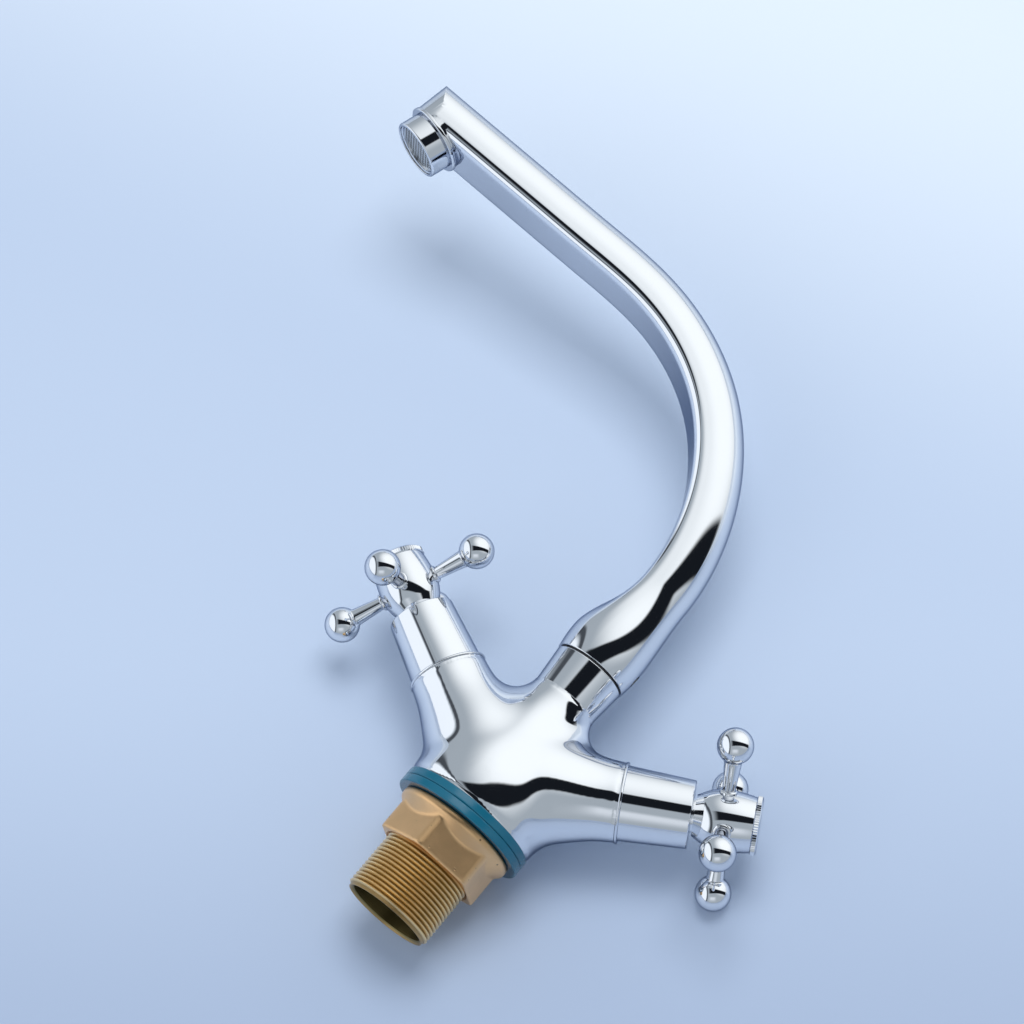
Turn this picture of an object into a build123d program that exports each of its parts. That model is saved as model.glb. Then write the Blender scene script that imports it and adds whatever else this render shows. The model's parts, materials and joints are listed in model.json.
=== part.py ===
from build123d import *
from math import atan2, cos, pi, radians, sin, tan
import os

# Two-handle basin tap with a swivel spout. Lengths in millimetres, angles in degrees.
# The origin lies on the tap's axis where it seats on the deck, with Z up, the cold
# handle towards +X and the hot handle towards -X.

os.makedirs("parts", exist_ok=True)

# Deck stack
gasket_diameter = 48.8
gasket_thickness = 3.0
gasket_bore_clearance = 0.2

# Threaded shank, M32 x 1.5
shank_diameter = 32.0
shank_pitch = 1.5
thread_depth_share = 0.61
thread_crest_share = 0.16
shank_wall = 2.2
shank_bore = shank_diameter - 2 * shank_wall
shank_drop = 39.6
shank_socket_depth = 8.0
shank_mouth_chamfer = 0.9

# Backnut
nut_height = 15.7
nut_wall = 1.6
nut_across_flats = shank_diameter + 2 * nut_wall
nut_flange_width = 3.8
nut_flange_diameter = nut_across_flats + 2 * nut_flange_width
nut_flange_thickness = 2.4
nut_cone_height = 3.6
nut_corner_radius = 2.2
nut_end_chamfer = 0.6
nut_clearance = 0.08
nut_turn = 24.0

# Body casting
body_base_diameter = 48.0
body_bulge = 0.6
body_bulge_rise = 6.0
body_top_height = 53.5
body_top_diameter = 24.4
arm_height = 17.9
arm_rise = 28.0
arm_end = 41.2
arm_end_diameter = 26.8
arm_root = 8.0
arm_root_diameter = 39.0
blend_radius = 9.0
inlet_diameter = 10.0
inlet_depth = 13.0
inlet_spacing = 17.0
waterway_diameter = 7.0
chamber_diameter = 15.0
chamber_depth = 11.5
chamber_drop = 5.0
mixing_diameter = 6.0
mixing_lift = 8.0
seal_thickness = 1.0
seal_inset = 0.8

# Trim ring and sleeve of each arm
trim_ring_diameter = 27.3
trim_ring_thickness = 1.1
trim_ring_round = 0.4
sleeve_end = 64.9
sleeve_base_diameter = 25.0
sleeve_end_diameter = 22.6
sleeve_wall = 1.2
sleeve_cap = 1.5
sleeve_grip = 2.5
sleeve_edge = 0.4

# Ceramic cartridge of each arm
seat_distance = 23.0
seat_seal_thickness = 2.0
seat_port_diameter = 11.0
disc_diameter = 15.0
disc_thickness = 3.0
disc_gap = 0.05
port_span = 80.0
port_inner_diameter = 4.0
port_outer_diameter = 11.6
cartridge_skirt_diameter = 18.0
annulus_diameter = 20.0
window_width = 8.0
window_height = 3.6
window_margin = 0.6
cartridge_thread_diameter = 20.8
cartridge_thread_length = 8.0
cartridge_flange_diameter = 22.0
cartridge_flange_thickness = 1.6
cartridge_hex = 18.0
cartridge_hex_length = 7.0
cartridge_stem_diameter = 15.0
neck_diameter = 11.6
neck_reach = 2.4
spindle_diameter = 8.0
spindle_flange_thickness = 2.4
tab_width = 3.0
tab_length = 9.0
tab_height = 1.0
spindle_clearance = 0.05
bore_clearance = 0.1
running_gap = 0.3
oring_section = 1.22
oring_groove_width = 1.7
oring_distances = (38.0, 42.0)

# Cross handles
hub_gap = 0.9
hub_length = 19.4
hub_foot_diameter = 13.8
hub_neck_diameter = 17.2
hub_belly_diameter = 20.4
hub_top_diameter = 18.4
hub_web = 2.0
hub_cone = 3.1
spline_length = 9.0
spline_teeth = 20
spline_depth = 0.4
spoke_count = 4
spoke_lift = 9.8
spoke_circle = 26.4
ball_diameter = 12.1
spoke_root_diameter = 4.6
spoke_tip_diameter = 6.2
spoke_foot_diameter = 6.0
spoke_foot_thickness = 0.9
stud_diameter = 4.0
stud_length = 3.4
spoke_inset = 0.5
spoke_foot_round = 0.5
screw_diameter = 5.0
screw_head_diameter = 8.6
screw_head_height = 2.8
screw_socket = 4.0
screw_socket_depth = 1.7
screw_grip = 7.0
cap_diameter = 19.4
cap_thickness = 2.2
cap_teeth = 72
cap_tooth_depth = 0.25
cap_plug_diameter = 13.0
cap_plug_depth = 1.6
cold_handle_turn = 42.0
hot_handle_turn = 73.0

# Swivel neck
collar_top_height = 66.9
collar_base_diameter = 23.9
collar_top_diameter = 26.1
collar_edge = 0.3
collar_stud_diameter = 18.0
collar_stud_length = 9.0
stem_diameter = 17.0
stem_height = 19.0
stem_bore = 11.0
neck_oring_section = 1.8
neck_oring_offsets = (3.0, 8.0)
slip_washer_thickness = 0.6
slip_washer_diameter = 25.2
swivel_gap = 0.05
grub_screw_diameter = 4.0
grub_screw_height = 6.6
grub_groove_depth = 1.2
grub_groove_width = 4.4
grub_tip_gap = 0.2
grub_sink = 0.6
grub_key = 2.0

# Spout
spout_swing = 186.5
spout_base_diameter = 26.9
spout_shoulder_diameter = 28.4
spout_foot_height = 9.0
spout_neck_length = 27.0
spout_setback = 3.5
spout_width = 24.5
spout_thickness = 18.3
spout_corner_radius = 3.6
spout_wall = 1.6
spout_bend_points = ((3.3, 137.1), (26.5, 170.1), (63.9, 188.6))
spout_bend_end = (101.5, 192.3)
spout_rise = 3.5
outlet_reach = 165.8
outlet_lip_height = 186.8
outlet_tilt = 16.0
outlet_diameter = 24.4
outlet_flare = 7.0
outlet_lip_diameter = 25.6
outlet_lip_thickness = 1.5
outlet_lip_round = 0.5
outlet_bore = 21.3
outlet_bore_depth = 8.3
outlet_waterway = 14.0
run_waterway = 12.0
outlet_waterway_rise = 4.0
section_steps = 6
neck_steps = 8
foot_steps = 4

# Aerator
aerator_drop = 7.4
aerator_diameter = 21.7
aerator_thread_diameter = 21.1
aerator_thread_length = 6.6
aerator_opening = 19.4
aerator_wall = 0.9
aerator_rim_round = 0.7
aerator_ledge = 0.5
mesh_recess = 1.4
mesh_thickness = 0.4
mesh_pitch = 1.5
mesh_wire = 0.35
mesh_rim = 1.0
insert_height = 8.0
insert_jets = 12
insert_jet_diameter = 1.6
insert_jet_circle = 13.0
aerator_washer_thickness = 1.6
seam = 0.15


def arm_frame(towards):
    """Frame of one arm: Z runs outwards along the arm, X points to the front."""
    axis = (towards * cos(radians(arm_rise)), 0, sin(radians(arm_rise)))
    return Plane(origin=(0, 0, arm_height), x_dir=(0, -1, 0), z_dir=axis)


def axis_of(frame):
    return Axis(frame.origin, frame.z_dir)


def profile_plane(frame):
    """Plane through a frame's axis, with the radius along X and the height along Y."""
    return Plane(origin=frame.origin, x_dir=frame.x_dir, z_dir=-frame.y_dir)


def turn(frame, outline, mode=Mode.ADD):
    """Revolve an outline of (radius, height) points about a frame's axis."""
    with BuildSketch(profile_plane(frame)) as section:
        with BuildLine():
            Polyline(*outline, close=True)
        make_face()
    revolve(section.sketch, axis=axis_of(frame), mode=mode)


def cylinder(frame, start, end, diameter, mode=Mode.ADD):
    """Cylinder about a frame's axis from one height to another."""
    with BuildSketch(frame.offset(start)) as section:
        Circle(diameter / 2)
    extrude(section.sketch, amount=end - start, mode=mode)


def tube(frame, start, end, outer, inner):
    """Plain ring about a frame's axis."""
    with BuildSketch(frame.offset(start)) as section:
        Circle(outer / 2)
        Circle(inner / 2, mode=Mode.SUBTRACT)
    extrude(section.sketch, amount=end - start)


def oring(frame, height, inner, section):
    """Torus about a frame's axis, flattened by its groove to the given inner diameter."""
    with BuildSketch(profile_plane(frame)) as circle:
        with Locations((inner / 2 + section / 2, height)):
            Circle(section / 2)
    revolve(circle.sketch, axis=axis_of(frame))


def toothed_prism(frame, start, end, tip_diameter, tooth_depth, teeth, mode=Mode.ADD):
    """Prism with a zigzag outline about a frame's axis, for splines and knurls."""
    points = []
    for step in range(2 * teeth):
        radius = tip_diameter / 2 - (step % 2) * tooth_depth
        angle = pi * step / teeth
        points.append((radius * cos(angle), radius * sin(angle)))
    with BuildSketch(frame.offset(start)) as section:
        with BuildLine():
            Polyline(*points, close=True)
        make_face()
    extrude(section.sketch, amount=end - start, mode=mode)


base = Plane.XY

# Upper and lower gasket, one on each side of the deck
gasket_bore = shank_diameter + 2 * gasket_bore_clearance

with BuildPart() as upper_gasket:
    tube(base, 0, gasket_thickness, gasket_diameter, gasket_bore)
upper_gasket.part.label = "upper_gasket"
export_step(upper_gasket.part, "parts/upper_gasket.step")

with BuildPart() as lower_gasket:
    tube(base, -gasket_thickness, 0, gasket_diameter, gasket_bore)
lower_gasket.part.label = "lower_gasket"
export_step(lower_gasket.part, "parts/lower_gasket.step")

# Shank: a threaded tube that screws up into the casting
seat_height = gasket_thickness
socket_top = seat_height + shank_socket_depth
shank_top = socket_top - seal_thickness
thread_depth = thread_depth_share * shank_pitch
thread_start = -shank_drop + shank_mouth_chamfer
thread_turns = int((seat_height - thread_start) / shank_pitch)


def shank_outline():
    """Section of the threaded wall, each turn a crest between two roots."""
    crest = shank_diameter / 2
    root = crest - thread_depth
    points = [(shank_bore / 2 + shank_mouth_chamfer, -shank_drop), (root, -shank_drop)]
    for turn_number in range(thread_turns):
        foot = thread_start + turn_number * shank_pitch
        points.append((root, foot))
        points.append((crest, foot + (1 - thread_crest_share) / 2 * shank_pitch))
        points.append((crest, foot + (1 + thread_crest_share) / 2 * shank_pitch))
    thread_end = thread_start + thread_turns * shank_pitch
    points += [(root, thread_end), (crest, thread_end + thread_depth), (crest, shank_top)]
    points += [(shank_bore / 2, shank_top), (shank_bore / 2, shank_mouth_chamfer - shank_drop)]
    return points


with BuildPart() as shank:
    turn(base, shank_outline())
shank.part.label = "shank"
export_step(shank.part, "parts/shank.step")

# Backnut: flange against the lower gasket, cone and rounded hexagon below it
nut_top = -gasket_thickness
nut_bottom = nut_top - nut_height
nut_bore = shank_diameter + 2 * nut_clearance
cone_top = nut_top - nut_flange_thickness
cone_bottom = cone_top - nut_cone_height

with BuildPart() as backnut:
    with BuildSketch(base.offset(nut_bottom)):
        RegularPolygon(nut_across_flats / 2, 6, major_radius=False, rotation=nut_turn)
        fillet(vertices(), nut_corner_radius)
    extrude(amount=nut_height)
    chamfer(faces().sort_by(Axis.Z)[0].edges(), nut_end_chamfer)
    turn(base, [
        (0, nut_top),
        (nut_flange_diameter / 2, nut_top),
        (nut_flange_diameter / 2, cone_top),
        (nut_across_flats / 2, cone_bottom),
        (0, cone_bottom),
    ])
    cylinder(base, nut_bottom, nut_top, nut_bore, mode=Mode.SUBTRACT)
backnut.part.label = "backnut"
export_step(backnut.part, "parts/backnut.step")

# Body casting: a domed trunk with two flared arms and a short neck
arms = {"hot": arm_frame(-1), "cold": arm_frame(1)}
handle_turns = {"hot": hot_handle_turn, "cold": cold_handle_turn}
bulge_height = seat_height + body_bulge_rise
belly_diameter = body_base_diameter + 2 * body_bulge
thread_distance = arm_end - cartridge_thread_length
chamber_bottom = body_top_height - collar_stud_length - chamber_depth

with BuildPart() as trunk:
    with BuildSketch(Plane.XZ):
        with BuildLine():
            foot = Line((0, seat_height), (body_base_diameter / 2, seat_height))
            bulge = Spline(foot @ 1, (belly_diameter / 2, bulge_height), tangents=((0.2, 1), (0, 1)))
            dome = Spline(bulge @ 1, (body_top_diameter / 2, body_top_height), tangents=((0, 1), (0, 1)))
            Polyline(dome @ 1, (0, body_top_height), (0, seat_height))
        make_face()
    revolve(axis=Axis.Z)

with BuildPart() as arm_shells:
    for frame in arms.values():
        with BuildSketch(profile_plane(frame)):
            with BuildLine():
                end = Line((0, arm_end), (arm_end_diameter / 2, arm_end))
                flare = Spline(end @ 1, (arm_root_diameter / 2, arm_root), tangents=((0, -1), (0, -1)))
                Polyline(flare @ 1, (0, arm_root), (0, arm_end))
            make_face()
        revolve(axis=axis_of(frame))

socket_diameter = shank_diameter + 2 * seam
mixing_height = (body_top_height - collar_stud_length + chamber_bottom) / 2 - chamber_drop


def waterway(start, finish, diameter):
    """Straight drilled passage between two points."""
    way = Plane(origin=start, z_dir=Vector(*finish) - Vector(*start))
    cylinder(way, 0, (Vector(*finish) - Vector(*start)).length, diameter, mode=Mode.SUBTRACT)


with BuildPart() as body_casting:
    add(trunk.part)
    add(arm_shells.part)
    fillet(new_edges(trunk.part, arm_shells.part, combined=body_casting.part), blend_radius)
    cylinder(base, seat_height, socket_top, socket_diameter, mode=Mode.SUBTRACT)
    cylinder(base, chamber_bottom, body_top_height, chamber_diameter, mode=Mode.SUBTRACT)
    stud_socket = collar_stud_diameter + 2 * seam
    cylinder(base, body_top_height - collar_stud_length, body_top_height, stud_socket, mode=Mode.SUBTRACT)
    for towards, frame in ((-1, arms["hot"]), (1, arms["cold"])):
        seat = frame.offset(seat_distance).origin
        port_x = towards * inlet_spacing / 2
        inlet_end = (port_x, 0, arm_height + abs(port_x) * tan(radians(arm_rise)))
        cylinder(frame, seat_distance, thread_distance, annulus_diameter, mode=Mode.SUBTRACT)
        cylinder(frame, thread_distance, arm_end, cartridge_thread_diameter + 2 * seam, mode=Mode.SUBTRACT)
        with BuildSketch(base.offset(socket_top)) as inlet:
            with Locations((port_x, 0)):
                Circle(inlet_diameter / 2)
        extrude(inlet.sketch, amount=inlet_depth, mode=Mode.SUBTRACT)
        waterway(inlet_end, tuple(seat), waterway_diameter)
        mixer_end = frame.offset((seat_distance + thread_distance) / 2).origin
        waterway((0, 0, mixing_height), (mixer_end.X, 0, mixer_end.Z + mixing_lift), mixing_diameter)
body_casting.part.label = "body_casting"
export_step(body_casting.part, "parts/body_casting.step")

# Fibre ring that seals the shank's top in the casting
with BuildPart() as shank_seal:
    tube(base, shank_top, socket_top, shank_diameter - seal_inset, shank_bore + seal_inset)
shank_seal.part.label = "shank_seal"
export_step(shank_seal.part, "parts/shank_seal.step")

# Cartridge, sleeve and trim ring of each arm
seal_top = seat_distance + seat_seal_thickness
fixed_top = seal_top + disc_thickness
moving_bottom = fixed_top + disc_gap
moving_top = moving_bottom + disc_thickness
flange_top = moving_top + spindle_flange_thickness
cavity_top = flange_top + running_gap
cavity_diameter = disc_diameter + 2 * bore_clearance
spindle_bore = spindle_diameter + 2 * spindle_clearance
cartridge_flange_top = arm_end + cartridge_flange_thickness
hex_top = cartridge_flange_top + cartridge_hex_length
ring_top = arm_end + trim_ring_thickness
cap_inner = sleeve_end - sleeve_cap
neck_top = sleeve_end + neck_reach
hub_bottom = sleeve_end + hub_gap
hub_top = hub_bottom + hub_length
spoke_plane = hub_bottom + spoke_lift
spline_start = neck_top + hub_gap
spline_end = spline_start + spline_length
web_top = spline_end + hub_web
plug_start = hub_top - cap_plug_depth - bore_clearance
spoke_seat = hub_belly_diameter / 2 - spoke_inset
stud_root = spoke_seat - stud_length
ball_root = spoke_circle - ((ball_diameter / 2) ** 2 - (spoke_tip_diameter / 2) ** 2) ** 0.5
taper = (sleeve_base_diameter - sleeve_end_diameter) / (sleeve_end - ring_top)


def sleeve_radius(distance):
    return sleeve_base_diameter / 2 - taper / 2 * (distance - ring_top)


def spoke_frame(frame, angle):
    """Frame of one spoke: Z runs outwards from the hub's axis in the spokes' plane."""
    turned = radians(angle)
    outwards = frame.x_dir * cos(turned) + frame.y_dir * sin(turned)
    return Plane(origin=frame.offset(spoke_plane).origin, x_dir=frame.z_dir, z_dir=outwards)


def disc_ports(frame, turn_angle):
    """Two opposed sector ports of a ceramic disc, as a sketch."""
    with BuildSketch(frame) as ports:
        for sector in (0, 180):
            start = turn_angle + sector - port_span / 2
            with BuildLine():
                outer = CenterArc((0, 0), port_outer_diameter / 2, start, port_span)
                inner = CenterArc((0, 0), port_inner_diameter / 2, start, port_span)
                Line(outer @ 0, inner @ 0)
                Line(outer @ 1, inner @ 1)
            make_face()
    return ports.sketch


for side, frame in arms.items():
    handle_turn = handle_turns[side]

    with BuildPart() as trim_ring:
        tube(frame, arm_end, ring_top, trim_ring_diameter, cartridge_flange_diameter + 2 * seam)
        rim = trim_ring.edges().group_by(lambda edge: round(edge.length, 3))[-1]
        fillet(rim, trim_ring_round)
    trim_ring.part.label = f"{side}_trim_ring"
    export_step(trim_ring.part, f"parts/{side}_trim_ring.step")

    with BuildPart() as sleeve:
        turn(frame, [
            (sleeve_radius(ring_top) - sleeve_wall, ring_top),
            (sleeve_radius(ring_top), ring_top),
            (sleeve_end_diameter / 2, sleeve_end - sleeve_edge),
            (sleeve_end_diameter / 2 - sleeve_edge, sleeve_end),
            (neck_diameter / 2 + seam, sleeve_end),
            (neck_diameter / 2 + seam, cap_inner),
            (cartridge_stem_diameter / 2 + seam, cap_inner),
            (cartridge_stem_diameter / 2 + seam, cap_inner - sleeve_grip),
            (sleeve_radius(cap_inner - sleeve_grip) - sleeve_wall, cap_inner - sleeve_grip),
        ])
    sleeve.part.label = f"{side}_sleeve"
    export_step(sleeve.part, f"parts/{side}_sleeve.step")

    with BuildPart() as seat_seal:
        tube(frame, seat_distance, seal_top, cartridge_skirt_diameter, seat_port_diameter)
    seat_seal.part.label = f"{side}_seat_seal"
    export_step(seat_seal.part, f"parts/{side}_seat_seal.step")

    with BuildPart() as fixed_disc:
        cylinder(frame, seal_top, fixed_top, disc_diameter)
        extrude(disc_ports(frame.offset(seal_top), 0), amount=disc_thickness, mode=Mode.SUBTRACT)
    fixed_disc.part.label = f"{side}_fixed_disc"
    export_step(fixed_disc.part, f"parts/{side}_fixed_disc.step")

    with BuildPart() as moving_disc:
        cylinder(frame, moving_bottom, moving_top, disc_diameter)
        extrude(disc_ports(frame.offset(moving_bottom), 90), amount=disc_thickness, mode=Mode.SUBTRACT)
        with BuildSketch(frame.offset(moving_top)) as slot:
            Rectangle(tab_width + 2 * seam, tab_length + 2 * seam)
        extrude(slot.sketch, amount=-tab_height - seam, mode=Mode.SUBTRACT)
    moving_disc.part.label = f"{side}_moving_disc"
    export_step(moving_disc.part, f"parts/{side}_moving_disc.step")

    with BuildPart() as cartridge_housing:
        cylinder(frame, seal_top, thread_distance, cartridge_skirt_diameter)
        cylinder(frame, thread_distance, arm_end, cartridge_thread_diameter)
        cylinder(frame, arm_end, cartridge_flange_top, cartridge_flange_diameter)
        with BuildSketch(frame.offset(cartridge_flange_top)) as hexagon:
            RegularPolygon(cartridge_hex / 2, 6, major_radius=False)
        extrude(hexagon.sketch, amount=cartridge_hex_length)
        cylinder(frame, hex_top, cap_inner, cartridge_stem_diameter)
        cylinder(frame, cap_inner, neck_top, neck_diameter)
        cylinder(frame, seal_top, cavity_top, cavity_diameter, mode=Mode.SUBTRACT)
        cylinder(frame, cavity_top, neck_top, spindle_bore, mode=Mode.SUBTRACT)
        with BuildSketch(frame.offset(thread_distance - window_height - window_margin)) as window:
            Rectangle(window_width, 2 * cartridge_skirt_diameter)
        extrude(window.sketch, amount=window_height, mode=Mode.SUBTRACT)
    cartridge_housing.part.label = f"{side}_cartridge_housing"
    export_step(cartridge_housing.part, f"parts/{side}_cartridge_housing.step")

    groove_diameter = spindle_diameter - 2 * (oring_section - spindle_clearance / 2)
    with BuildPart() as spindle:
        cylinder(frame, moving_top, flange_top, disc_diameter - 2 * running_gap)
        cylinder(frame, flange_top, spline_start, spindle_diameter)
        spline_tip = spindle_diameter - 2 * seam
        toothed_prism(frame, spline_start, spline_end, spline_tip, spline_depth, spline_teeth)
        with BuildSketch(frame.offset(moving_top)) as tab:
            Rectangle(tab_width, tab_length)
        extrude(tab.sketch, amount=-tab_height)
        for distance in oring_distances:
            groove_start = distance - oring_groove_width / 2
            with BuildSketch(frame.offset(groove_start)) as groove:
                Circle(spindle_diameter)
                Circle(groove_diameter / 2, mode=Mode.SUBTRACT)
            extrude(groove.sketch, amount=oring_groove_width, mode=Mode.SUBTRACT)
        cylinder(frame, web_top - screw_grip - hub_web, spline_end, screw_diameter, mode=Mode.SUBTRACT)
    spindle.part.label = f"{side}_spindle"
    export_step(spindle.part, f"parts/{side}_spindle.step")

    with BuildPart() as spindle_orings:
        for distance in oring_distances:
            oring(frame, distance, groove_diameter, oring_section)
    spindle_orings.part.label = f"{side}_spindle_orings"
    export_step(spindle_orings.part, f"parts/{side}_spindle_orings.step")

    spokes_at = [handle_turn + 360 / spoke_count * number for number in range(spoke_count)]
    with BuildPart() as hub:
        with BuildSketch(profile_plane(frame)) as hub_section:
            with BuildLine():
                cone_top_height = hub_bottom + hub_cone
                cone = Line((hub_foot_diameter / 2, hub_bottom), (hub_neck_diameter / 2, cone_top_height))
                side_curve = ThreePointArc(
                    cone @ 1, (hub_belly_diameter / 2, spoke_plane), (hub_top_diameter / 2, hub_top)
                )
                Polyline(side_curve @ 1, (0, hub_top), (0, hub_bottom), cone @ 0)
            make_face()
        revolve(hub_section.sketch, axis=axis_of(frame))
        cylinder(frame, hub_bottom, spline_start, neck_diameter + 2 * running_gap, mode=Mode.SUBTRACT)
        toothed_prism(
            frame, spline_start, spline_end, spindle_diameter, spline_depth, spline_teeth, Mode.SUBTRACT
        )
        cylinder(frame, spline_end, web_top, screw_diameter + 4 * seam, mode=Mode.SUBTRACT)
        cylinder(frame, web_top, plug_start, screw_head_diameter + 2 * running_gap, mode=Mode.SUBTRACT)
        cylinder(frame, plug_start, hub_top, cap_plug_diameter + 2 * seam, mode=Mode.SUBTRACT)
        for angle in spokes_at:
            spoke = spoke_frame(frame, angle)
            cylinder(spoke, stud_root, spoke_seat, stud_diameter + 2 * seam, mode=Mode.SUBTRACT)
            foot_hole = spoke_foot_diameter + 2 * seam
            cylinder(spoke, spoke_seat, hub_belly_diameter, foot_hole, mode=Mode.SUBTRACT)
    hub.part.label = f"{side}_hub"
    export_step(hub.part, f"parts/{side}_hub.step")

    with BuildPart() as spokes:
        for angle in spokes_at:
            spoke = spoke_frame(frame, angle)
            with BuildSketch(profile_plane(spoke)) as spoke_section:
                with BuildLine():
                    lower = Polyline(
                        (0, stud_root + seam),
                        (stud_diameter / 2, stud_root + seam),
                        (stud_diameter / 2, spoke_seat),
                        (spoke_foot_diameter / 2, spoke_seat),
                        (spoke_foot_diameter / 2, spoke_seat + spoke_foot_thickness),
                        (spoke_root_diameter / 2, spoke_seat + spoke_foot_thickness + spoke_foot_round),
                        (spoke_tip_diameter / 2, ball_root),
                    )
                    ball = ThreePointArc(
                        lower @ 1, (ball_diameter / 2, spoke_circle), (0, spoke_circle + ball_diameter / 2)
                    )
                    Line(ball @ 1, lower @ 0)
                make_face()
            revolve(spoke_section.sketch, axis=axis_of(spoke))
    spokes.part.label = f"{side}_spokes"
    export_step(spokes.part, f"parts/{side}_spokes.step")

    with BuildPart() as hub_screw:
        cylinder(frame, web_top - screw_grip, web_top, screw_diameter - 2 * seam)
        cylinder(frame, web_top, web_top + screw_head_height, screw_head_diameter)
        with BuildSketch(frame.offset(web_top + screw_head_height)) as socket:
            RegularPolygon(screw_socket / 2, 6, major_radius=False)
        extrude(socket.sketch, amount=-screw_socket_depth, mode=Mode.SUBTRACT)
    hub_screw.part.label = f"{side}_hub_screw"
    export_step(hub_screw.part, f"parts/{side}_hub_screw.step")

    with BuildPart() as index_cap:
        toothed_prism(frame, hub_top, hub_top + cap_thickness, cap_diameter, cap_tooth_depth, cap_teeth)
        cylinder(frame, hub_top - cap_plug_depth, hub_top, cap_plug_diameter)
    index_cap.part.label = f"{side}_index_cap"
    export_step(index_cap.part, f"parts/{side}_index_cap.step")

# Swivel neck: an adapter screwed into the casting, whose stem carries the spout
stem_bottom = collar_top_height
stem_top = stem_bottom + stem_height
slip_top = stem_bottom + slip_washer_thickness
spout_bottom = slip_top + swivel_gap
bush_bore = stem_diameter + 2 * spindle_clearance
neck_groove = stem_diameter - 2 * (neck_oring_section - spindle_clearance / 2)
neck_oring_heights = [stem_top - offset for offset in neck_oring_offsets]
grub_height = spout_bottom + grub_screw_height

with BuildPart() as neck_collar:
    cylinder(base, body_top_height - collar_stud_length, body_top_height, collar_stud_diameter)
    turn(base, [
        (0, body_top_height),
        (collar_base_diameter / 2, body_top_height),
        (collar_top_diameter / 2, collar_top_height - collar_edge),
        (collar_top_diameter / 2 - collar_edge, collar_top_height),
        (0, collar_top_height),
    ])
    cylinder(base, stem_bottom, stem_top, stem_diameter)
    for height in neck_oring_heights:
        with BuildSketch(base.offset(height - neck_oring_section / 2 - seam)) as groove:
            Circle(stem_diameter)
            Circle(neck_groove / 2, mode=Mode.SUBTRACT)
        extrude(groove.sketch, amount=neck_oring_section + 2 * seam, mode=Mode.SUBTRACT)
    with BuildSketch(base.offset(grub_height - grub_groove_width / 2)) as retaining_groove:
        Circle(stem_diameter)
        Circle(stem_diameter / 2 - grub_groove_depth, mode=Mode.SUBTRACT)
    extrude(retaining_groove.sketch, amount=grub_groove_width, mode=Mode.SUBTRACT)
    cylinder(base, body_top_height - collar_stud_length, stem_top, stem_bore, mode=Mode.SUBTRACT)
neck_collar.part.label = "neck_collar"
export_step(neck_collar.part, "parts/neck_collar.step")

with BuildPart() as neck_orings:
    for height in neck_oring_heights:
        oring(base, height, neck_groove, neck_oring_section)
neck_orings.part.label = "neck_orings"
export_step(neck_orings.part, "parts/neck_orings.step")

with BuildPart() as slip_washer:
    tube(base, stem_bottom, slip_top, slip_washer_diameter, stem_diameter + 2 * seam)
slip_washer.part.label = "slip_washer"
export_step(slip_washer.part, "parts/slip_washer.step")

# Spout: round foot, flattened swan bend and straight run, ending over a tilted outlet
swing = radians(spout_swing)
reach = Vector(cos(swing), sin(swing), 0)
spout_plane = Plane(origin=(0, 0, 0), x_dir=reach, z_dir=(sin(swing), -cos(swing), 0))
bend_end = Vector(*spout_bend_end)
foot_top = spout_bottom + spout_foot_height
neck_end = foot_top + spout_neck_length
run_direction = reach * cos(radians(spout_rise)) + Vector(0, 0, sin(radians(spout_rise)))
down_tilt = radians(outlet_tilt)
outlet_up = Vector(0, 0, cos(down_tilt)) - reach * sin(down_tilt)
outlet = Plane(
    origin=reach * outlet_reach + Vector(0, 0, outlet_lip_height),
    x_dir=(sin(swing), -cos(swing), 0),
    z_dir=outlet_up,
)


def on_run(distance):
    """Point of the run's centre line at a horizontal distance from the tap's axis."""
    rise = (distance - bend_end.X) * tan(radians(spout_rise))
    return reach * distance + Vector(0, 0, bend_end.Y + rise)


def section_plane(origin, direction):
    """Cross-section plane whose X points to the inside of the bend."""
    return Plane(origin=origin, x_dir=direction.cross(spout_plane.z_dir), z_dir=direction)


def section_pieces(inset=0):
    """Sampled edges of the half-round section with its flat inner side, shrunk by an inset."""
    corner = max(spout_corner_radius - inset, spout_corner_radius / 4)
    half = spout_width / 2 - inset
    back = inset - spout_thickness / 2
    flat = spout_thickness / 2 - inset
    middle = back + half
    shares = [step / section_steps for step in range(section_steps + 1)]
    angles = [pi / 2 * share for share in shares]
    crown = [(middle - half * cos(angle), half * sin(angle)) for angle in angles]
    side = [(middle + (flat - corner - middle) * share, half) for share in shares]
    corner_x = flat - corner
    corner_y = half - corner
    corner_arc = [(corner_x + corner * sin(angle), corner_y + corner * cos(angle)) for angle in angles]
    inner = [(flat, corner_y * (1 - 2 * share)) for share in shares]
    mirrored = [[(x, -y) for x, y in reversed(piece)] for piece in (corner_arc, side, crown)]
    return [crown, side, corner_arc, inner] + mirrored


def blended_edges(diameter, share, inset=0):
    """Edges part of the way from a circle to the half-round section, smooth where the latter is."""
    headings = [(0, 1), (1, 0), (1, 0), (0, -1), (0, -1), (-1, 0), (-1, 0), (0, 1)]
    edges_in_order = []
    for number, piece in enumerate(section_pieces(inset)):
        first = atan2(piece[0][1], piece[0][0])
        last = atan2(piece[-1][1], piece[-1][0])
        if last > first:
            last -= 2 * pi
        points = []
        for step, (x, y) in enumerate(piece):
            bearing = first + (last - first) * step / section_steps
            round_x = diameter / 2 * cos(bearing)
            round_y = diameter / 2 * sin(bearing)
            points.append((round_x + (x - round_x) * share, round_y + (y - round_y) * share))
        tangents = []
        for bearing, (x, y) in zip((first, last), headings[number:number + 2]):
            round_share = 1 - share
            tangents.append((sin(bearing) * round_share + x * share, y * share - cos(bearing) * round_share))
        edges_in_order.append(Edge.make_spline(points, tangents=tangents))
    return edges_in_order


def blended_section(plane, diameter, share, inset=0):
    return plane * Face(Wire(blended_edges(diameter, share, inset)))


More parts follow.
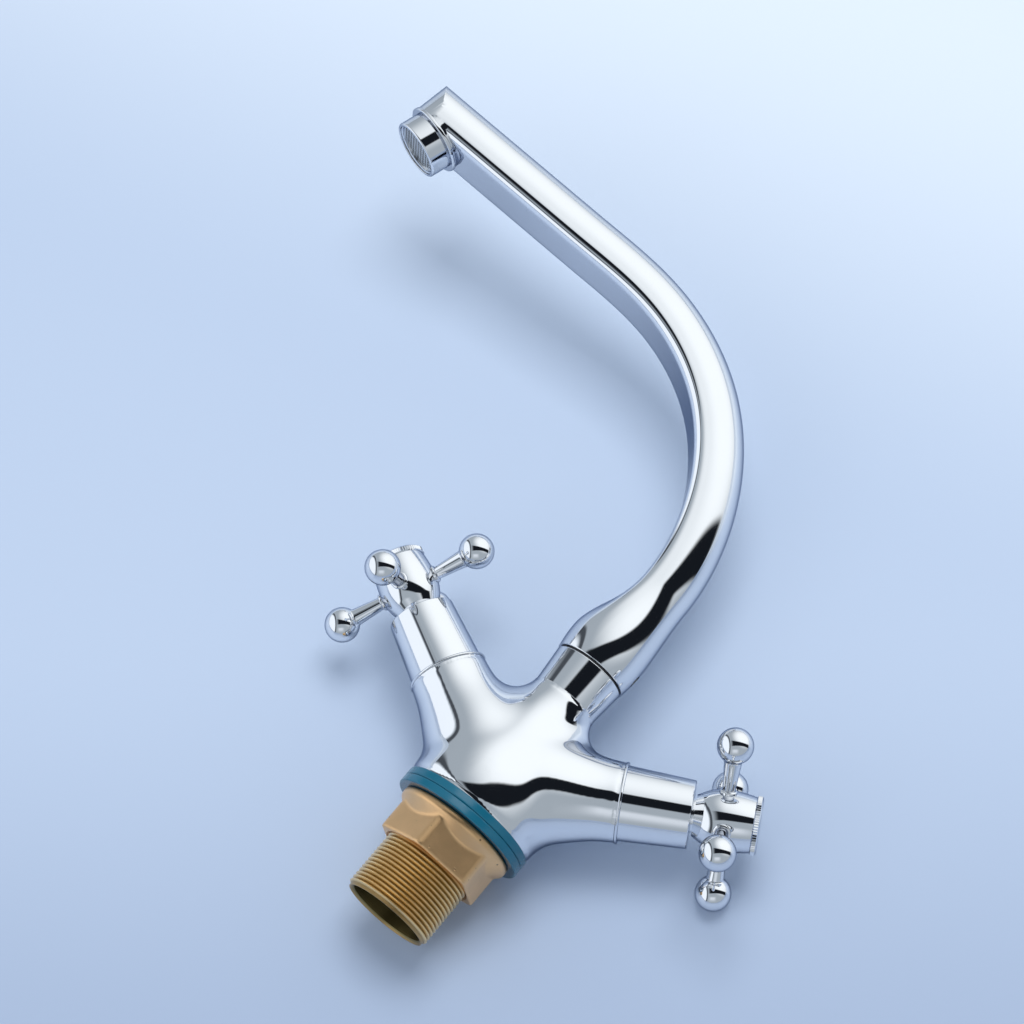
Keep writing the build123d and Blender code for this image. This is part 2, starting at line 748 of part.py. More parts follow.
def neck_section(height, diameter, inset=0):
    """Section of the spout's neck, which changes smoothly from round to half-round."""
    climb = max(0, (height - foot_top) / (neck_end - foot_top))
    share = climb * climb * (3 - 2 * climb)
    shift = up * height - reach * spout_setback * share
    return blended_section(section_plane(shift, up), diameter, share, inset)


up = Vector(0, 0, 1)
bend_start = up * neck_end - reach * spout_setback
run_slope = tan(radians(spout_rise))
lean = tan(down_tilt)
height_above_lip = bend_end.Y - bend_end.X * run_slope - outlet_lip_height
tip_reach = (outlet_reach - height_above_lip * lean) / (1 + run_slope * lean)
tip_plane = section_plane(on_run(tip_reach), run_direction)
bush_top = stem_top + running_gap
bush_diameter = spout_base_diameter - 2 * spout_wall


def in_spout_plane(point):
    return reach * point.X + up * point.Y


bend_middles = [in_spout_plane(Vector(*point)) for point in spout_bend_points]
run_start = in_spout_plane(bend_end)


def course(end):
    """Centre line of the bend and of the run up to a point on it."""
    with BuildLine() as line:
        Spline(bend_start, *bend_middles, run_start, tangents=(up, run_direction))
        Line(run_start, end)
    return line.line


# Rounded end of the run: a cylinder over the outlet, trimmed by the run's own crown
hood_half = spout_width / 2
hood_depth = 2 * spout_width
hood_edges = blended_edges(spout_width, 1)
hood_corner = (spout_width - spout_thickness / 2 - hood_half, hood_half)
hood_outline = [
    hood_edges[0],
    hood_edges[-1],
    Edge.make_line(hood_corner, (hood_depth, hood_half)),
    Edge.make_line((hood_depth, hood_half), (hood_depth, -hood_half)),
    Edge.make_line((hood_depth, -hood_half), (hood_corner[0], -hood_half)),
]

hood_spread = outlet_diameter / 2 + hood_depth * tan(radians(outlet_flare))

with BuildPart() as spout_end:
    extrude(tip_plane * Face(Wire(hood_outline)), amount=spout_width, dir=run_direction)
    turn(outlet, [
        (0, 0),
        (outlet_diameter / 2, 0),
        (hood_spread, hood_depth),
        (0, hood_depth),
    ], mode=Mode.INTERSECT)

with BuildPart() as spout_skirt:
    with BuildSketch(tip_plane) as skirt:
        with Locations((hood_depth / 2, 0)):
            Rectangle(hood_depth, hood_depth)
    extrude(skirt.sketch, amount=-spout_width)
    with BuildSketch(outlet) as footprint:
        Circle(outlet_diameter / 2)
    extrude(footprint.sketch, amount=hood_depth, mode=Mode.INTERSECT)

foot_growth = spout_shoulder_diameter - spout_base_diameter
neck_heights = [foot_top + spout_neck_length * step / neck_steps for step in range(neck_steps + 1)]
outer_sections = []
for step in range(foot_steps):
    foot_share = step / foot_steps
    foot_diameter = spout_shoulder_diameter - foot_growth * (1 - foot_share) ** 2
    outer_sections.append(neck_section(spout_bottom + spout_foot_height * foot_share, foot_diameter))
outer_sections += [neck_section(height, spout_shoulder_diameter) for height in neck_heights]
hollow_rise = neck_end - bush_top
hollow_heights = [bush_top + hollow_rise * step / neck_steps for step in range(neck_steps + 1)]
full_section = blended_section(section_plane(bend_start, up), spout_width, 1)
hollow_section = blended_section(section_plane(bend_start, up), spout_width, 1, spout_wall)

with BuildPart() as spout:
    loft(outer_sections)
    sweep(full_section, path=course(on_run(tip_reach)))
    add(spout_end.part)
    add(spout_skirt.part)
    turn(outlet, [
        (0, 0),
        (outlet_lip_diameter / 2 - outlet_lip_round, 0),
        (outlet_lip_diameter / 2, outlet_lip_round),
        (outlet_lip_diameter / 2, outlet_lip_thickness - outlet_lip_round),
        (outlet_lip_diameter / 2 - outlet_lip_round, outlet_lip_thickness),
        (0, outlet_lip_thickness),
    ])
    cylinder(base, spout_bottom, bush_top, bush_diameter + 2 * seam, mode=Mode.SUBTRACT)
    hollow_foot = bush_diameter - 2 * spout_wall
    loft([neck_section(height, hollow_foot, spout_wall) for height in hollow_heights], mode=Mode.SUBTRACT)
    hollow_end = on_run(tip_reach - outlet_diameter / 2 - spout_wall)
    sweep(hollow_section, path=course(hollow_end), mode=Mode.SUBTRACT)
    waterway(tuple(hollow_end - run_direction), tuple(on_run(tip_reach)), run_waterway)
    cylinder(outlet, 0, outlet_bore_depth, outlet_bore, mode=Mode.SUBTRACT)
    cylinder(outlet, 0, outlet_bore_depth + outlet_waterway_rise, outlet_waterway, mode=Mode.SUBTRACT)
    with BuildSketch(section_plane(up * grub_height, -reach)) as grub_hole:
        Circle(grub_screw_diameter / 2 + seam)
    extrude(grub_hole.sketch, amount=spout_shoulder_diameter, mode=Mode.SUBTRACT)
spout.part.label = "spout"
export_step(spout.part, "parts/spout.step")

# Nylon bush inside the spout's foot, which turns on the stem
with BuildPart() as spout_bush:
    tube(base, spout_bottom, bush_top, bush_diameter, bush_bore)
    extrude(grub_hole.sketch, amount=spout_shoulder_diameter, mode=Mode.SUBTRACT)
spout_bush.part.label = "spout_bush"
export_step(spout_bush.part, "parts/spout_bush.step")

# Grub screw at the back of the spout's foot, whose tip runs in the stem's groove
with BuildPart() as spout_grub_screw:
    grub_axis = section_plane(up * grub_height, -reach)
    grub_tip = stem_diameter / 2 - grub_groove_depth + grub_tip_gap
    grub_outer = spout_base_diameter / 2 - grub_sink
    cylinder(grub_axis, grub_tip, grub_outer, grub_screw_diameter)
    with BuildSketch(grub_axis.offset(grub_outer)) as grub_socket:
        RegularPolygon(grub_key / 2, 6, major_radius=False)
    extrude(grub_socket.sketch, amount=-grub_key, mode=Mode.SUBTRACT)
spout_grub_screw.part.label = "spout_grub_screw"
export_step(spout_grub_screw.part, "parts/spout_grub_screw.step")

# Aerator: a threaded shell that holds the mesh and the jet insert, with a washer above
opening_height = -aerator_drop
ledge_bottom = opening_height + mesh_recess - aerator_ledge
mesh_bottom = opening_height + mesh_recess
mesh_top = mesh_bottom + mesh_thickness
shell_top = aerator_thread_length
shell_bore = aerator_thread_diameter - 2 * aerator_wall

with BuildPart() as aerator_shell:
    turn(outlet, [
        (aerator_opening / 2, opening_height),
        (aerator_diameter / 2 - aerator_rim_round, opening_height),
        (aerator_diameter / 2, opening_height + aerator_rim_round),
        (aerator_diameter / 2, -running_gap),
        (aerator_thread_diameter / 2, -running_gap),
        (aerator_thread_diameter / 2, shell_top),
        (shell_bore / 2, shell_top),
        (shell_bore / 2, mesh_bottom),
        (aerator_opening / 2 - aerator_ledge, mesh_bottom),
        (aerator_opening / 2 - aerator_ledge, ledge_bottom),
        (aerator_opening / 2, ledge_bottom - aerator_ledge / 2),
    ])
aerator_shell.part.label = "aerator_shell"
export_step(aerator_shell.part, "parts/aerator_shell.step")

mesh_diameter = shell_bore - 2 * seam
mesh_holes_diameter = aerator_opening - 2 * mesh_rim
steps = int(mesh_holes_diameter / 2 / mesh_pitch)
lattice = [mesh_pitch * step for step in range(-steps, steps + 1)]
hole_side = mesh_pitch - mesh_wire
reach_of_holes = mesh_holes_diameter / 2 - hole_side / 2
mesh_places = [(x, y) for x in lattice for y in lattice if (x * x + y * y) ** 0.5 < reach_of_holes]

with BuildPart() as aerator_mesh:
    with BuildSketch(outlet.offset(mesh_bottom)) as net:
        Circle(mesh_diameter / 2)
        with Locations(*mesh_places):
            Rectangle(hole_side, hole_side, mode=Mode.SUBTRACT)
    extrude(net.sketch, amount=mesh_thickness)
aerator_mesh.part.label = "aerator_mesh"
export_step(aerator_mesh.part, "parts/aerator_mesh.step")

with BuildPart() as aerator_insert:
    with BuildSketch(outlet.offset(mesh_top)) as jets:
        Circle(mesh_diameter / 2)
        with PolarLocations(insert_jet_circle / 2, insert_jets):
            Circle(insert_jet_diameter / 2, mode=Mode.SUBTRACT)
    extrude(jets.sketch, amount=insert_height)
aerator_insert.part.label = "aerator_insert"
export_step(aerator_insert.part, "parts/aerator_insert.step")

with BuildPart() as aerator_washer:
    washer_top = shell_top + aerator_washer_thickness
    tube(outlet, shell_top, washer_top, outlet_bore - 2 * seam, outlet_waterway)
aerator_washer.part.label = "aerator_washer"
export_step(aerator_washer.part, "parts/aerator_washer.step")
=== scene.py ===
import json
from math import atan2, cos, pi, radians, sin, sqrt, tan

import bmesh
import bpy
from bpy.props import FloatProperty, FloatVectorProperty, IntProperty, PointerProperty
from mathutils import Matrix, Vector

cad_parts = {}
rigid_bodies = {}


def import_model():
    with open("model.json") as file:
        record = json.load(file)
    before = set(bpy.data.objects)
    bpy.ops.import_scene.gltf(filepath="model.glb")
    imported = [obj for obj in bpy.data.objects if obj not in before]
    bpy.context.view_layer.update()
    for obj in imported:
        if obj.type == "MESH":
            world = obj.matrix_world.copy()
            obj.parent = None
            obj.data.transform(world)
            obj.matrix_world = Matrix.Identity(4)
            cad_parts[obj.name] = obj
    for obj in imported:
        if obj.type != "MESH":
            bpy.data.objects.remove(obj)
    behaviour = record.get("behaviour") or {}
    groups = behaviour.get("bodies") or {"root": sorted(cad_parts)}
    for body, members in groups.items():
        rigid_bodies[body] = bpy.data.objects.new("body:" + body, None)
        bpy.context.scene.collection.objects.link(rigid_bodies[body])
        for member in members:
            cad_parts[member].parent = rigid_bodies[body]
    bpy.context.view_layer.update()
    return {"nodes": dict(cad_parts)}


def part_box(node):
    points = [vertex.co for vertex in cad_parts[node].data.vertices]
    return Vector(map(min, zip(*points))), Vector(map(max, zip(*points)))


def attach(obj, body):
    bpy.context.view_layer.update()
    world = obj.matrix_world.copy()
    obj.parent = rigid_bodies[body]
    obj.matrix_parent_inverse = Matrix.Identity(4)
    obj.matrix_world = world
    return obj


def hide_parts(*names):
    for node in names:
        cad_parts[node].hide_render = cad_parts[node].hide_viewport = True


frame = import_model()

bl_info = {
    "name": "Basin tap",
    "version": (1, 0, 0),
    "blender": (4, 5, 0),
    "location": "3D View > Sidebar > Basin tap",
    "description": "Models and finishes the visible pieces of a two-handle basin tap",
    "category": "Add Mesh",
}

MM = 0.001
BASE_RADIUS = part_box("upper_gasket")[1].x


def length_setting(name, description, metres):
    return FloatProperty(name=name, description=description, default=metres, unit="LENGTH")


def angle_setting(name, description, degrees):
    return FloatProperty(
        name=name, description=description, default=radians(degrees), subtype="ANGLE")


def colour_setting(name, description, colour):
    return FloatVectorProperty(
        name=name, description=description, default=colour, subtype="COLOR")


class DeckSizes(bpy.types.PropertyGroup):
    """Gaskets, backnut and shank"""
    gasket_diameter: length_setting(
        "Gasket diameter", "Outer diameter of both gaskets", 2 * BASE_RADIUS)
    gasket_thickness: length_setting("Gasket thickness", "Thickness of each gasket", 0.003)
    gasket_bore: length_setting("Gasket bore", "Inner diameter of both gaskets", 0.0324)
    nut_flats: length_setting("Nut across flats", "Width of the backnut's hexagon", 0.0352)
    nut_flange: length_setting("Nut flange", "Diameter of the backnut's flange", 0.0428)
    nut_height: length_setting("Nut height", "Height of the backnut", 0.0157)
    nut_bore: length_setting("Nut bore", "Diameter of the backnut's bore", 0.03216)
    nut_turn: angle_setting("Nut turn", "Angle of one corner of the hexagon", 24)


class ArmSizes(bpy.types.PropertyGroup):
    """Arms, sleeves and cross handles"""
    arm_height: length_setting("Arm height", "Height where the arms' axes meet", 0.0179)
    arm_rise: angle_setting("Arm rise", "Angle of the arms above level", 28)
    arm_end: length_setting(
        "Arm end", "Distance of the casting's end face along an arm", 0.0412)
    ring_diameter: length_setting(
        "Trim ring diameter", "Diameter of the ring at the arm's end", 0.0273)
    sleeve_base: length_setting("Sleeve base", "Diameter of the sleeve beside the ring", 0.025)
    sleeve_tip: length_setting("Sleeve tip", "Diameter of the sleeve beside the handle", 0.0226)
    sleeve_end: length_setting(
        "Sleeve end", "Distance of the sleeve's end along an arm", 0.0649)
    spoke_plane: length_setting("Spoke plane", "Distance of the spokes along an arm", 0.0756)
    hub_end: length_setting("Hub end", "Distance of the hub's end along an arm", 0.0852)
    ball_circle: length_setting(
        "Ball circle", "Distance of the balls from the handle's axis", 0.0264)
    ball_diameter: length_setting("Ball diameter", "Diameter of the balls", 0.0121)
    cap_diameter: length_setting("Cap diameter", "Diameter of the milled cap", 0.0194)
    cap_teeth: IntProperty(
        name="Cap teeth", description="Number of teeth round the cap", default=72)
    hot_turn: angle_setting("Hot handle turn", "Rest angle of the hot handle", 73)
    cold_turn: angle_setting("Cold handle turn", "Rest angle of the cold handle", 42)


class SpoutSizes(bpy.types.PropertyGroup):
    """Swivel neck, spout and aerator"""
    collar_base: length_setting("Collar base", "Diameter of the collar on the casting", 0.0239)
    collar_top: length_setting("Collar top", "Diameter of the collar under the spout", 0.0261)
    foot_diameter: length_setting("Foot diameter", "Diameter of the spout's foot", 0.0269)
    shoulder_diameter: length_setting("Shoulder diameter", "Diameter above the foot", 0.0284)
    width: length_setting("Spout width", "Width of the half-round section", 0.0245)
    thickness: length_setting("Spout thickness", "Thickness of the half-round section", 0.0183)
    corner_radius: length_setting("Corner radius", "Radius beside the flat side", 0.0036)
    swing: angle_setting("Swing", "Direction of the spout at rest", 186.5)
    outlet_reach: length_setting("Outlet reach", "Distance of the outlet from the axis", 0.1658)
    outlet_height: length_setting("Outlet height", "Height of the outlet's lip", 0.1868)
    outlet_tilt: angle_setting("Outlet tilt", "Lean of the outlet", 16)
    aerator_diameter: length_setting(
        "Aerator diameter", "Diameter of the aerator's shell", 0.0217)
    aerator_drop: length_setting("Aerator drop", "Length of the aerator below the lip", 0.0074)


class Finishes(bpy.types.PropertyGroup):
    """Colours of the pieces"""
    chrome: colour_setting("Chrome", "Colour of the chrome plate", (0.9, 0.91, 0.93))
    turned_brass: colour_setting(
        "Turned brass", "Colour of the threaded shank", (0.86, 0.62, 0.31))
    cast_brass: colour_setting("Cast brass", "Colour of the backnut", (0.9, 0.56, 0.28))
    rubber: colour_setting("Teal rubber", "Colour of the gaskets", (0.002, 0.08, 0.15))
    backdrop: colour_setting(
        "Backdrop", "Colour of the surface under the tap", (0.52, 0.62, 0.78))


# Shader maths: an expression on values adds its Math nodes


class Value:
    """A number that varies over a surface, for use in plain expressions."""

    def __init__(self, tree, socket):
        self.tree = tree
        self.socket = socket

    def math(self, operation, first, second=0.5):
        node = self.tree.nodes.new("ShaderNodeMath")
        node.operation = operation
        for place, item in enumerate((first, second)):
            if isinstance(item, Value):
                self.tree.links.new(item.socket, node.inputs[place])
            else:
                node.inputs[place].default_value = item
        return Value(self.tree, node.outputs[0])

    def __add__(self, other):
        return self.math("ADD", self, other)

    def __radd__(self, other):
        return self.math("ADD", other, self)

    def __sub__(self, other):
        return self.math("SUBTRACT", self, other)

    def __rsub__(self, other):
        return self.math("SUBTRACT", other, self)

    def __mul__(self, other):
        return self.math("MULTIPLY", self, other)

    def __pow__(self, other):
        return self.math("POWER", self, other)

    def __abs__(self):
        return self.math("ABSOLUTE", self)

    def above(self, edge):
        return self.math("GREATER_THAN", self, edge)


class Shader:
    """A node tree with one method that adds any node."""

    def __init__(self, tree):
        self.tree = tree
        tree.nodes.clear()

    def add(self, kind, settings=None, out=0, **sockets):
        """Adds a node with its settings and its sockets, by name or as _number."""
        node = self.tree.nodes.new(kind)
        for name, value in (settings or {}).items():
            setattr(node, name, value)
        for name, value in sockets.items():
            key = int(name[1:]) if name[0] == "_" else name.replace("_", " ")
            socket = node.inputs[key]
            if isinstance(value, Value):
                self.tree.links.new(value.socket, socket)
            else:
                socket.default_value = value
        return Value(self.tree, node.outputs[out]) if node.outputs else None

    def blend(self, factor, first, second):
        """Mix of two colours."""
        return self.add(
            "ShaderNodeMix", {"data_type": "RGBA"}, out=2, _0=factor, _6=first, _7=second)

    def fade(self, value, start, end):
        """Nought below start, one above end, smooth in between."""
        return self.add(
            "ShaderNodeMapRange", {"interpolation_type": "SMOOTHSTEP", "clamp": True},
            Value=value, From_Min=start, From_Max=end, To_Min=0.0, To_Max=1.0)

    def place(self, scale=(1, 1, 1)):
        """Object coordinates, scaled."""
        where = self.add("ShaderNodeTexCoord", out=3)
        return self.add("ShaderNodeMapping", Vector=where, Scale=scale)

    def along(self, vector, direction):
        """How far a vector reaches in a direction."""
        return self.add(
            "ShaderNodeVectorMath", {"operation": "DOT_PRODUCT"}, out=1,
            _0=vector, _1=tuple(direction))

    def noise(self, scale, detail=3.0, roughness=0.5, where=None):
        return self.add(
            "ShaderNodeTexNoise", Vector=where or self.place(), Scale=scale, Detail=detail,
            Roughness=roughness)

    def parts(self, vector):
        """The three numbers of a vector."""
        node = self.tree.nodes.new("ShaderNodeSeparateXYZ")
        self.tree.links.new(vector.socket, node.inputs[0])
        return [Value(self.tree, output) for output in node.outputs]

    def radius(self):
        """Distance from the tap's upright axis."""
        x, y = self.parts(self.place())[:2]
        return (x * x + y * y) ** 0.5

    def surface(self, height, depth, **sockets):
        """Principled surface with a bump of a depth in metres."""
        bump = self.add("ShaderNodeBump", Strength=1.0, Distance=depth, Height=height)
        shader = self.add("ShaderNodeBsdfPrincipled", Normal=bump, **sockets)
        self.add("ShaderNodeOutputMaterial", Surface=shader)


def new_material(name):
    """Empty shader of a new material."""
    material = bpy.data.materials.new(name)
    material.use_nodes = True
    return Shader(material.node_tree)


def rgba(colour, level=1.0):
    return tuple(channel * level for channel in colour) + (1.0,)


def chrome_plate(colour):
    """Bright chrome with a faint haze and the slight waviness of a polished casting."""
    shader = new_material("chrome_plate")
    haze = shader.noise(90.0, 4.0)
    waviness = shader.noise(35.0, 1.0)
    wipe_marks = shader.noise(1.0, 2.0, where=shader.place(scale=(60, 60, 900)))
    shader.surface(
        height=waviness, depth=0.02 * MM,
        Base_Color=shader.blend(haze, rgba(colour, 0.97), rgba(colour)),
        Metallic=1.0,
        Specular_Tint=(0.25, 0.29, 0.38, 1.0),
        Roughness=0.025 + haze * 0.03 + wipe_marks * 0.015)


# Radii on the shank between which its brass changes tone, where painted shade darkens the thread's
# roots and the bore
THREAD_ROOT, THREAD_CREST, BORE_WALL = 15.1 * MM, 15.95 * MM, 13.9 * MM


def threaded_brass(colour):
    """Golden turned brass with tool lines round it, and painted shade that darkens the thread's
    roots and the bore.
    """
    shader = new_material("threaded_brass")
    radius = shader.radius()
    crest = shader.fade(radius, THREAD_ROOT, THREAD_CREST)
    tool_lines = shader.noise(1.0, 2.0, where=shader.place(scale=(20, 20, 9000)))
    stain = shader.noise(120.0, 4.0, 0.6)
    # Painted shade: the thread's roots get a darker brass, varied by the stains
    painted_root_shade = shader.blend(stain, rgba((0.4, 0.26, 0.1)), rgba((0.58, 0.38, 0.17)))
    bright = shader.blend(stain, rgba(colour), rgba(colour, 1.22))
    outside = shader.fade(radius, BORE_WALL, BORE_WALL + 0.6 * MM)
    thread = shader.blend(crest, painted_root_shade, bright)
    shader.surface(
        height=tool_lines, depth=0.04 * MM,
        # Painted shade: inside the bore wall the brass is painted dark brown
        Base_Color=shader.blend(outside, rgba((0.26, 0.2, 0.08)), thread),
        Metallic=1.0,
        Roughness=0.3 + stain * 0.14 - crest * 0.06)


def cast_brass(colour):
    """Satin cast brass with a fine grain, small pits and a few darker stains."""
    shader = new_material("cast_brass")
    grain = shader.noise(2600.0, 3.0, 0.6)
    cloud = shader.noise(110.0, 4.0, 0.55)
    pits = shader.fade(
        shader.add("ShaderNodeTexVoronoi", Vector=shader.place(), Scale=230.0), 0.03, 0.11)
    tint = shader.blend(cloud, rgba(colour, 0.86), rgba(colour, 1.1))
    shader.surface(
        height=grain * 0.5 + pits * 1.6, depth=0.06 * MM,
        Base_Color=shader.blend(pits, rgba((0.28, 0.17, 0.09)), tint),
        Metallic=1.0,
        Roughness=0.27 + grain * 0.08 + cloud * 0.08)


def machined_brass(colour, plate, arms):
    """Turned brass of the cartridge parts, plated where a cartridge's neck leaves its sleeve."""
    shader = new_material("machined_brass")
    x, _, z = shader.parts(shader.place())
    along_arm = abs(x) * cos(arms.arm_rise) + (z - arms.arm_height) * sin(arms.arm_rise)
    plated = along_arm.above(arms.sleeve_end - 1.5 * MM)
    tool_lines = shader.noise(1.0, 2.0, where=shader.place(scale=(2600, 40, 2600)))
    cloud = shader.noise(150.0, 3.0)
    shader.surface(
        height=tool_lines, depth=0.02 * MM,
        Base_Color=shader.blend(
            plated, shader.blend(cloud, rgba(colour, 0.9), rgba(colour, 1.15)), rgba(plate)),
        Metallic=1.0,
        Roughness=0.22 + cloud * 0.12 - plated * 0.16)


def teal_rubber(colour):
    """Clear teal rubber with a moulded skin, and a painted highlight that makes its rim paler."""
    shader = new_material("teal_rubber")
    cloud = shader.noise(160.0, 4.0, 0.6)
    skin = shader.noise(1500.0, 2.0)
    # Painted highlight: the colour turns paler towards the gasket's outer edge
    rim = shader.fade(shader.radius(), BASE_RADIUS - 1.6 * MM, BASE_RADIUS)
    body = shader.blend(cloud, rgba(colour, 0.8), rgba(colour, 1.25))
    shader.surface(
        height=skin, depth=0.006 * MM,
        Base_Color=shader.blend(rim * 0.55, body, rgba((0.02, 0.26, 0.4))),
        Roughness=0.14 + cloud * 0.1,
        Transmission_Weight=0.35,
        IOR=1.46)


# Finishes of small and hidden parts: size, detail and stretch of the grain, depth of the bump,
# darkest and lightest colour, least roughness, its spread, and how metallic they are
PLAIN_FINISHES = {
    "steel": (
        1.0, 3.0, (400, 4000, 400), 0.01 * MM,
        (0.48, 0.5, 0.53), (0.66, 0.68, 0.7), 0.24, 0.12, 1.0),
    "black_rubber": (
        400.0, 3.0, (1, 1, 1), 0.02 * MM,
        (0.012, 0.012, 0.013), (0.03, 0.03, 0.032), 0.5, 0.2, 0.0),
    "fibre": (
        1.0, 4.0, (1500, 500, 3000), 0.05 * MM,
        (0.2, 0.05, 0.03), (0.36, 0.11, 0.07), 0.75, 0.15, 0.0),
    "ceramic": (
        900.0, 3.0, (1, 1, 1), 0.004 * MM,
        (0.74, 0.73, 0.7), (0.82, 0.81, 0.79), 0.14, 0.08, 0.0),
    "nylon": (
        220.0, 3.0, (1, 1, 1), 0.02 * MM,
        (0.62, 0.6, 0.55), (0.74, 0.72, 0.68), 0.38, 0.16, 0.0),
    "dark_nylon": (
        220.0, 3.0, (1, 1, 1), 0.02 * MM,
        (0.01, 0.01, 0.012), (0.025, 0.025, 0.03), 0.38, 0.16, 0.0),
}


def plain_finish(name):
    """One grain that varies a part's colour, roughness and skin together."""
    size, detail, stretch, depth, dark, light, roughness, spread, metallic = PLAIN_FINISHES[name]
    shader = new_material(name)
    grain = shader.noise(size, detail, where=shader.place(stretch))
    shader.surface(
        height=grain, depth=depth,
        Base_Color=shader.blend(grain, rgba(dark), rgba(light)),
        Metallic=metallic,
        Roughness=roughness + grain * spread)


# Modelling helpers. Lengths in metres, in the CAD's frame


class Line:
    """An axis with a direction across it, on which heights and radii are laid off."""

    def __init__(self, origin, along, across):
        self.origin = Vector(origin)
        self.along = Vector(along).normalized()
        self.across = Vector(across).normalized()
        self.aside = self.along.cross(self.across)

    def at(self, radius, height, angle=0.0):
        outwards = self.across * cos(angle) + self.aside * sin(angle)
        return self.origin + self.along * height + outwards * radius


def deselect():
    if bpy.context.object and bpy.context.object.mode != "OBJECT":
        bpy.ops.object.mode_set(mode="OBJECT")
    bpy.ops.object.select_all(action="DESELECT")


def only(piece):
    """Makes a piece the one that operators act on."""
    deselect()
    piece.select_set(True)
    bpy.context.view_layer.objects.active = piece


def edit(piece):
    only(piece)
    bpy.ops.object.mode_set(mode="EDIT")
    bpy.ops.mesh.select_mode(type="VERT")


def pick(piece, test, kind="verts"):
    """Selects in edit mode the points, edges or faces for which a test holds."""
    bpy.ops.mesh.select_all(action="DESELECT")
    bpy.ops.mesh.select_mode(type={"verts": "VERT", "edges": "EDGE", "faces": "FACE"}[kind])
    mesh = bmesh.from_edit_mesh(piece.data)
    for item in getattr(mesh, kind):
        item.select_set(bool(test(item)))
    mesh.select_flush_mode()
    bmesh.update_edit_mesh(piece.data)


def leave(piece, name=None):
    """Back to object mode, with the piece's place in its mesh."""
    bpy.ops.object.mode_set(mode="OBJECT")
    only(piece)
    bpy.ops.object.transform_apply(location=True, rotation=True, scale=True)
    if name:
        piece.name = name
        piece.data.name = name
    return piece


def weld(reach):
    """Merges the edited piece's points that lie within reach of each other."""
    bpy.ops.mesh.select_all(action="SELECT")
    bpy.ops.mesh.remove_doubles(threshold=reach)


def face_outwards():
    """Turns every face of the edited piece outwards."""
    bpy.ops.mesh.select_all(action="SELECT")
    bpy.ops.mesh.normals_make_consistent(inside=False)


def modify(piece, kind, **settings):
    """Adds a modifier and applies it."""
    only(piece)
    modifier = piece.modifiers.new(kind.lower(), kind)
    for name, value in settings.items():
        setattr(modifier, name, value)
    bpy.ops.object.modifier_apply(modifier=modifier.name)
    return piece


def smooth(piece, angle=30.0, weighted=True):
    only(piece)
    bpy.ops.object.shade_smooth_by_angle(angle=radians(angle))
    if weighted:
        modify(piece, "WEIGHTED_NORMAL", keep_sharp=True, weight=50)
    return piece


def finish(piece, body, slot, *nodes):
    """Finish, body and slot of a piece, and the CAD nodes that it stands for."""
    piece.data.materials.clear()
    piece.data.materials.append(bpy.data.materials[slot])
    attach(piece, body)
    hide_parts(*nodes)


def rounded(outline, arc_steps=5):
    """Outline of (radius, height) points, each with an optional corner radius."""
    result = []
    count = len(outline)
    for place, corner in enumerate(outline):
        point = Vector(corner[:2])
        if len(corner) < 3:
            result.append(point)
            continue
        before = (Vector(outline[place - 1][:2]) - point).normalized()
        after = (Vector(outline[(place + 1) % count][:2]) - point).normalized()
        half = before.angle(after) / 2
        reach = corner[2] / tan(half)
        middle = point + (before + after).normalized() * corner[2] / sin(half)
        first = (point + before * reach - middle).normalized()
        last = (point + after * reach - middle).normalized()
        for step in range(arc_steps + 1):
            result.append(middle + first.slerp(last, step / arc_steps) * corner[2])
    return result


def turned(name, line, outline, steps=128):
    """Draws a closed outline of (radius, height) points and spins it round a line."""
    points = [line.at(radius, height) for radius, height in outline]
    points.append(points[0])
    deselect()
    bpy.ops.mesh.primitive_plane_add(size=0.0001, location=points[0])
    piece = bpy.context.object
    edit(piece)
    bpy.ops.mesh.select_all(action="SELECT")
    bpy.ops.mesh.merge(type="CENTER")
    for start, end in zip(points, points[1:]):
        bpy.ops.mesh.extrude_vertices_move(TRANSFORM_OT_translate={"value": end - start})
    weld(1e-6)
    bpy.ops.mesh.spin(steps=steps, angle=2 * pi, center=line.origin, axis=line.along)
    weld(2e-6)
    bpy.ops.mesh.delete_loose()
    face_outwards()
    return leave(piece, name)


def rod(name, line, radius, low, high, steps=128):
    """A plain round tool or plug between two heights on a line."""
    return turned(name, line, [(0, low), (radius, low), (radius, high), (0, high)], steps)


def cut(piece, tool, operation="DIFFERENCE"):
    """Boolean with a tool that is deleted afterwards. Many-sided faces are divided first."""
    modify(piece, "TRIANGULATE", min_vertices=5)
    modify(tool, "TRIANGULATE", min_vertices=5)
    modify(piece, "BOOLEAN", operation=operation, object=tool, solver="EXACT")
    bpy.data.objects.remove(tool, do_unlink=True)
    return piece


def mended(piece):
    """Merges the tiny edges that booleans leave and closes what they left open."""
    edit(piece)
    weld(3e-6)
    bpy.ops.mesh.select_all(action="DESELECT")
    bpy.ops.mesh.select_non_manifold()
    bpy.ops.mesh.fill_holes(sides=12)
    face_outwards()
    bpy.ops.object.mode_set(mode="OBJECT")
    return piece


def merged(piece, other):
    """Joins another object's mesh into a piece."""
    only(piece)
    other.select_set(True)
    bpy.ops.object.join()
    return piece


def remeshed(piece, voxel, rounds):
    """Even skin of small faces, smoothed, with only its outermost shell kept."""
    modify(piece, "REMESH", mode="VOXEL", voxel_size=voxel)
    edit(piece)
    mesh = bmesh.from_edit_mesh(piece.data)
    top = max(mesh.verts, key=lambda point: point.co.z)
    bpy.ops.mesh.select_all(action="DESELECT")
    top.select_set(True)
    bmesh.update_edit_mesh(piece.data)
    bpy.ops.mesh.select_linked()
    bpy.ops.mesh.select_all(action="INVERT")
    bpy.ops.mesh.delete(type="VERT")
    bpy.ops.object.mode_set(mode="OBJECT")
    modify(piece, "SMOOTH", factor=0.5, iterations=rounds)
    return piece


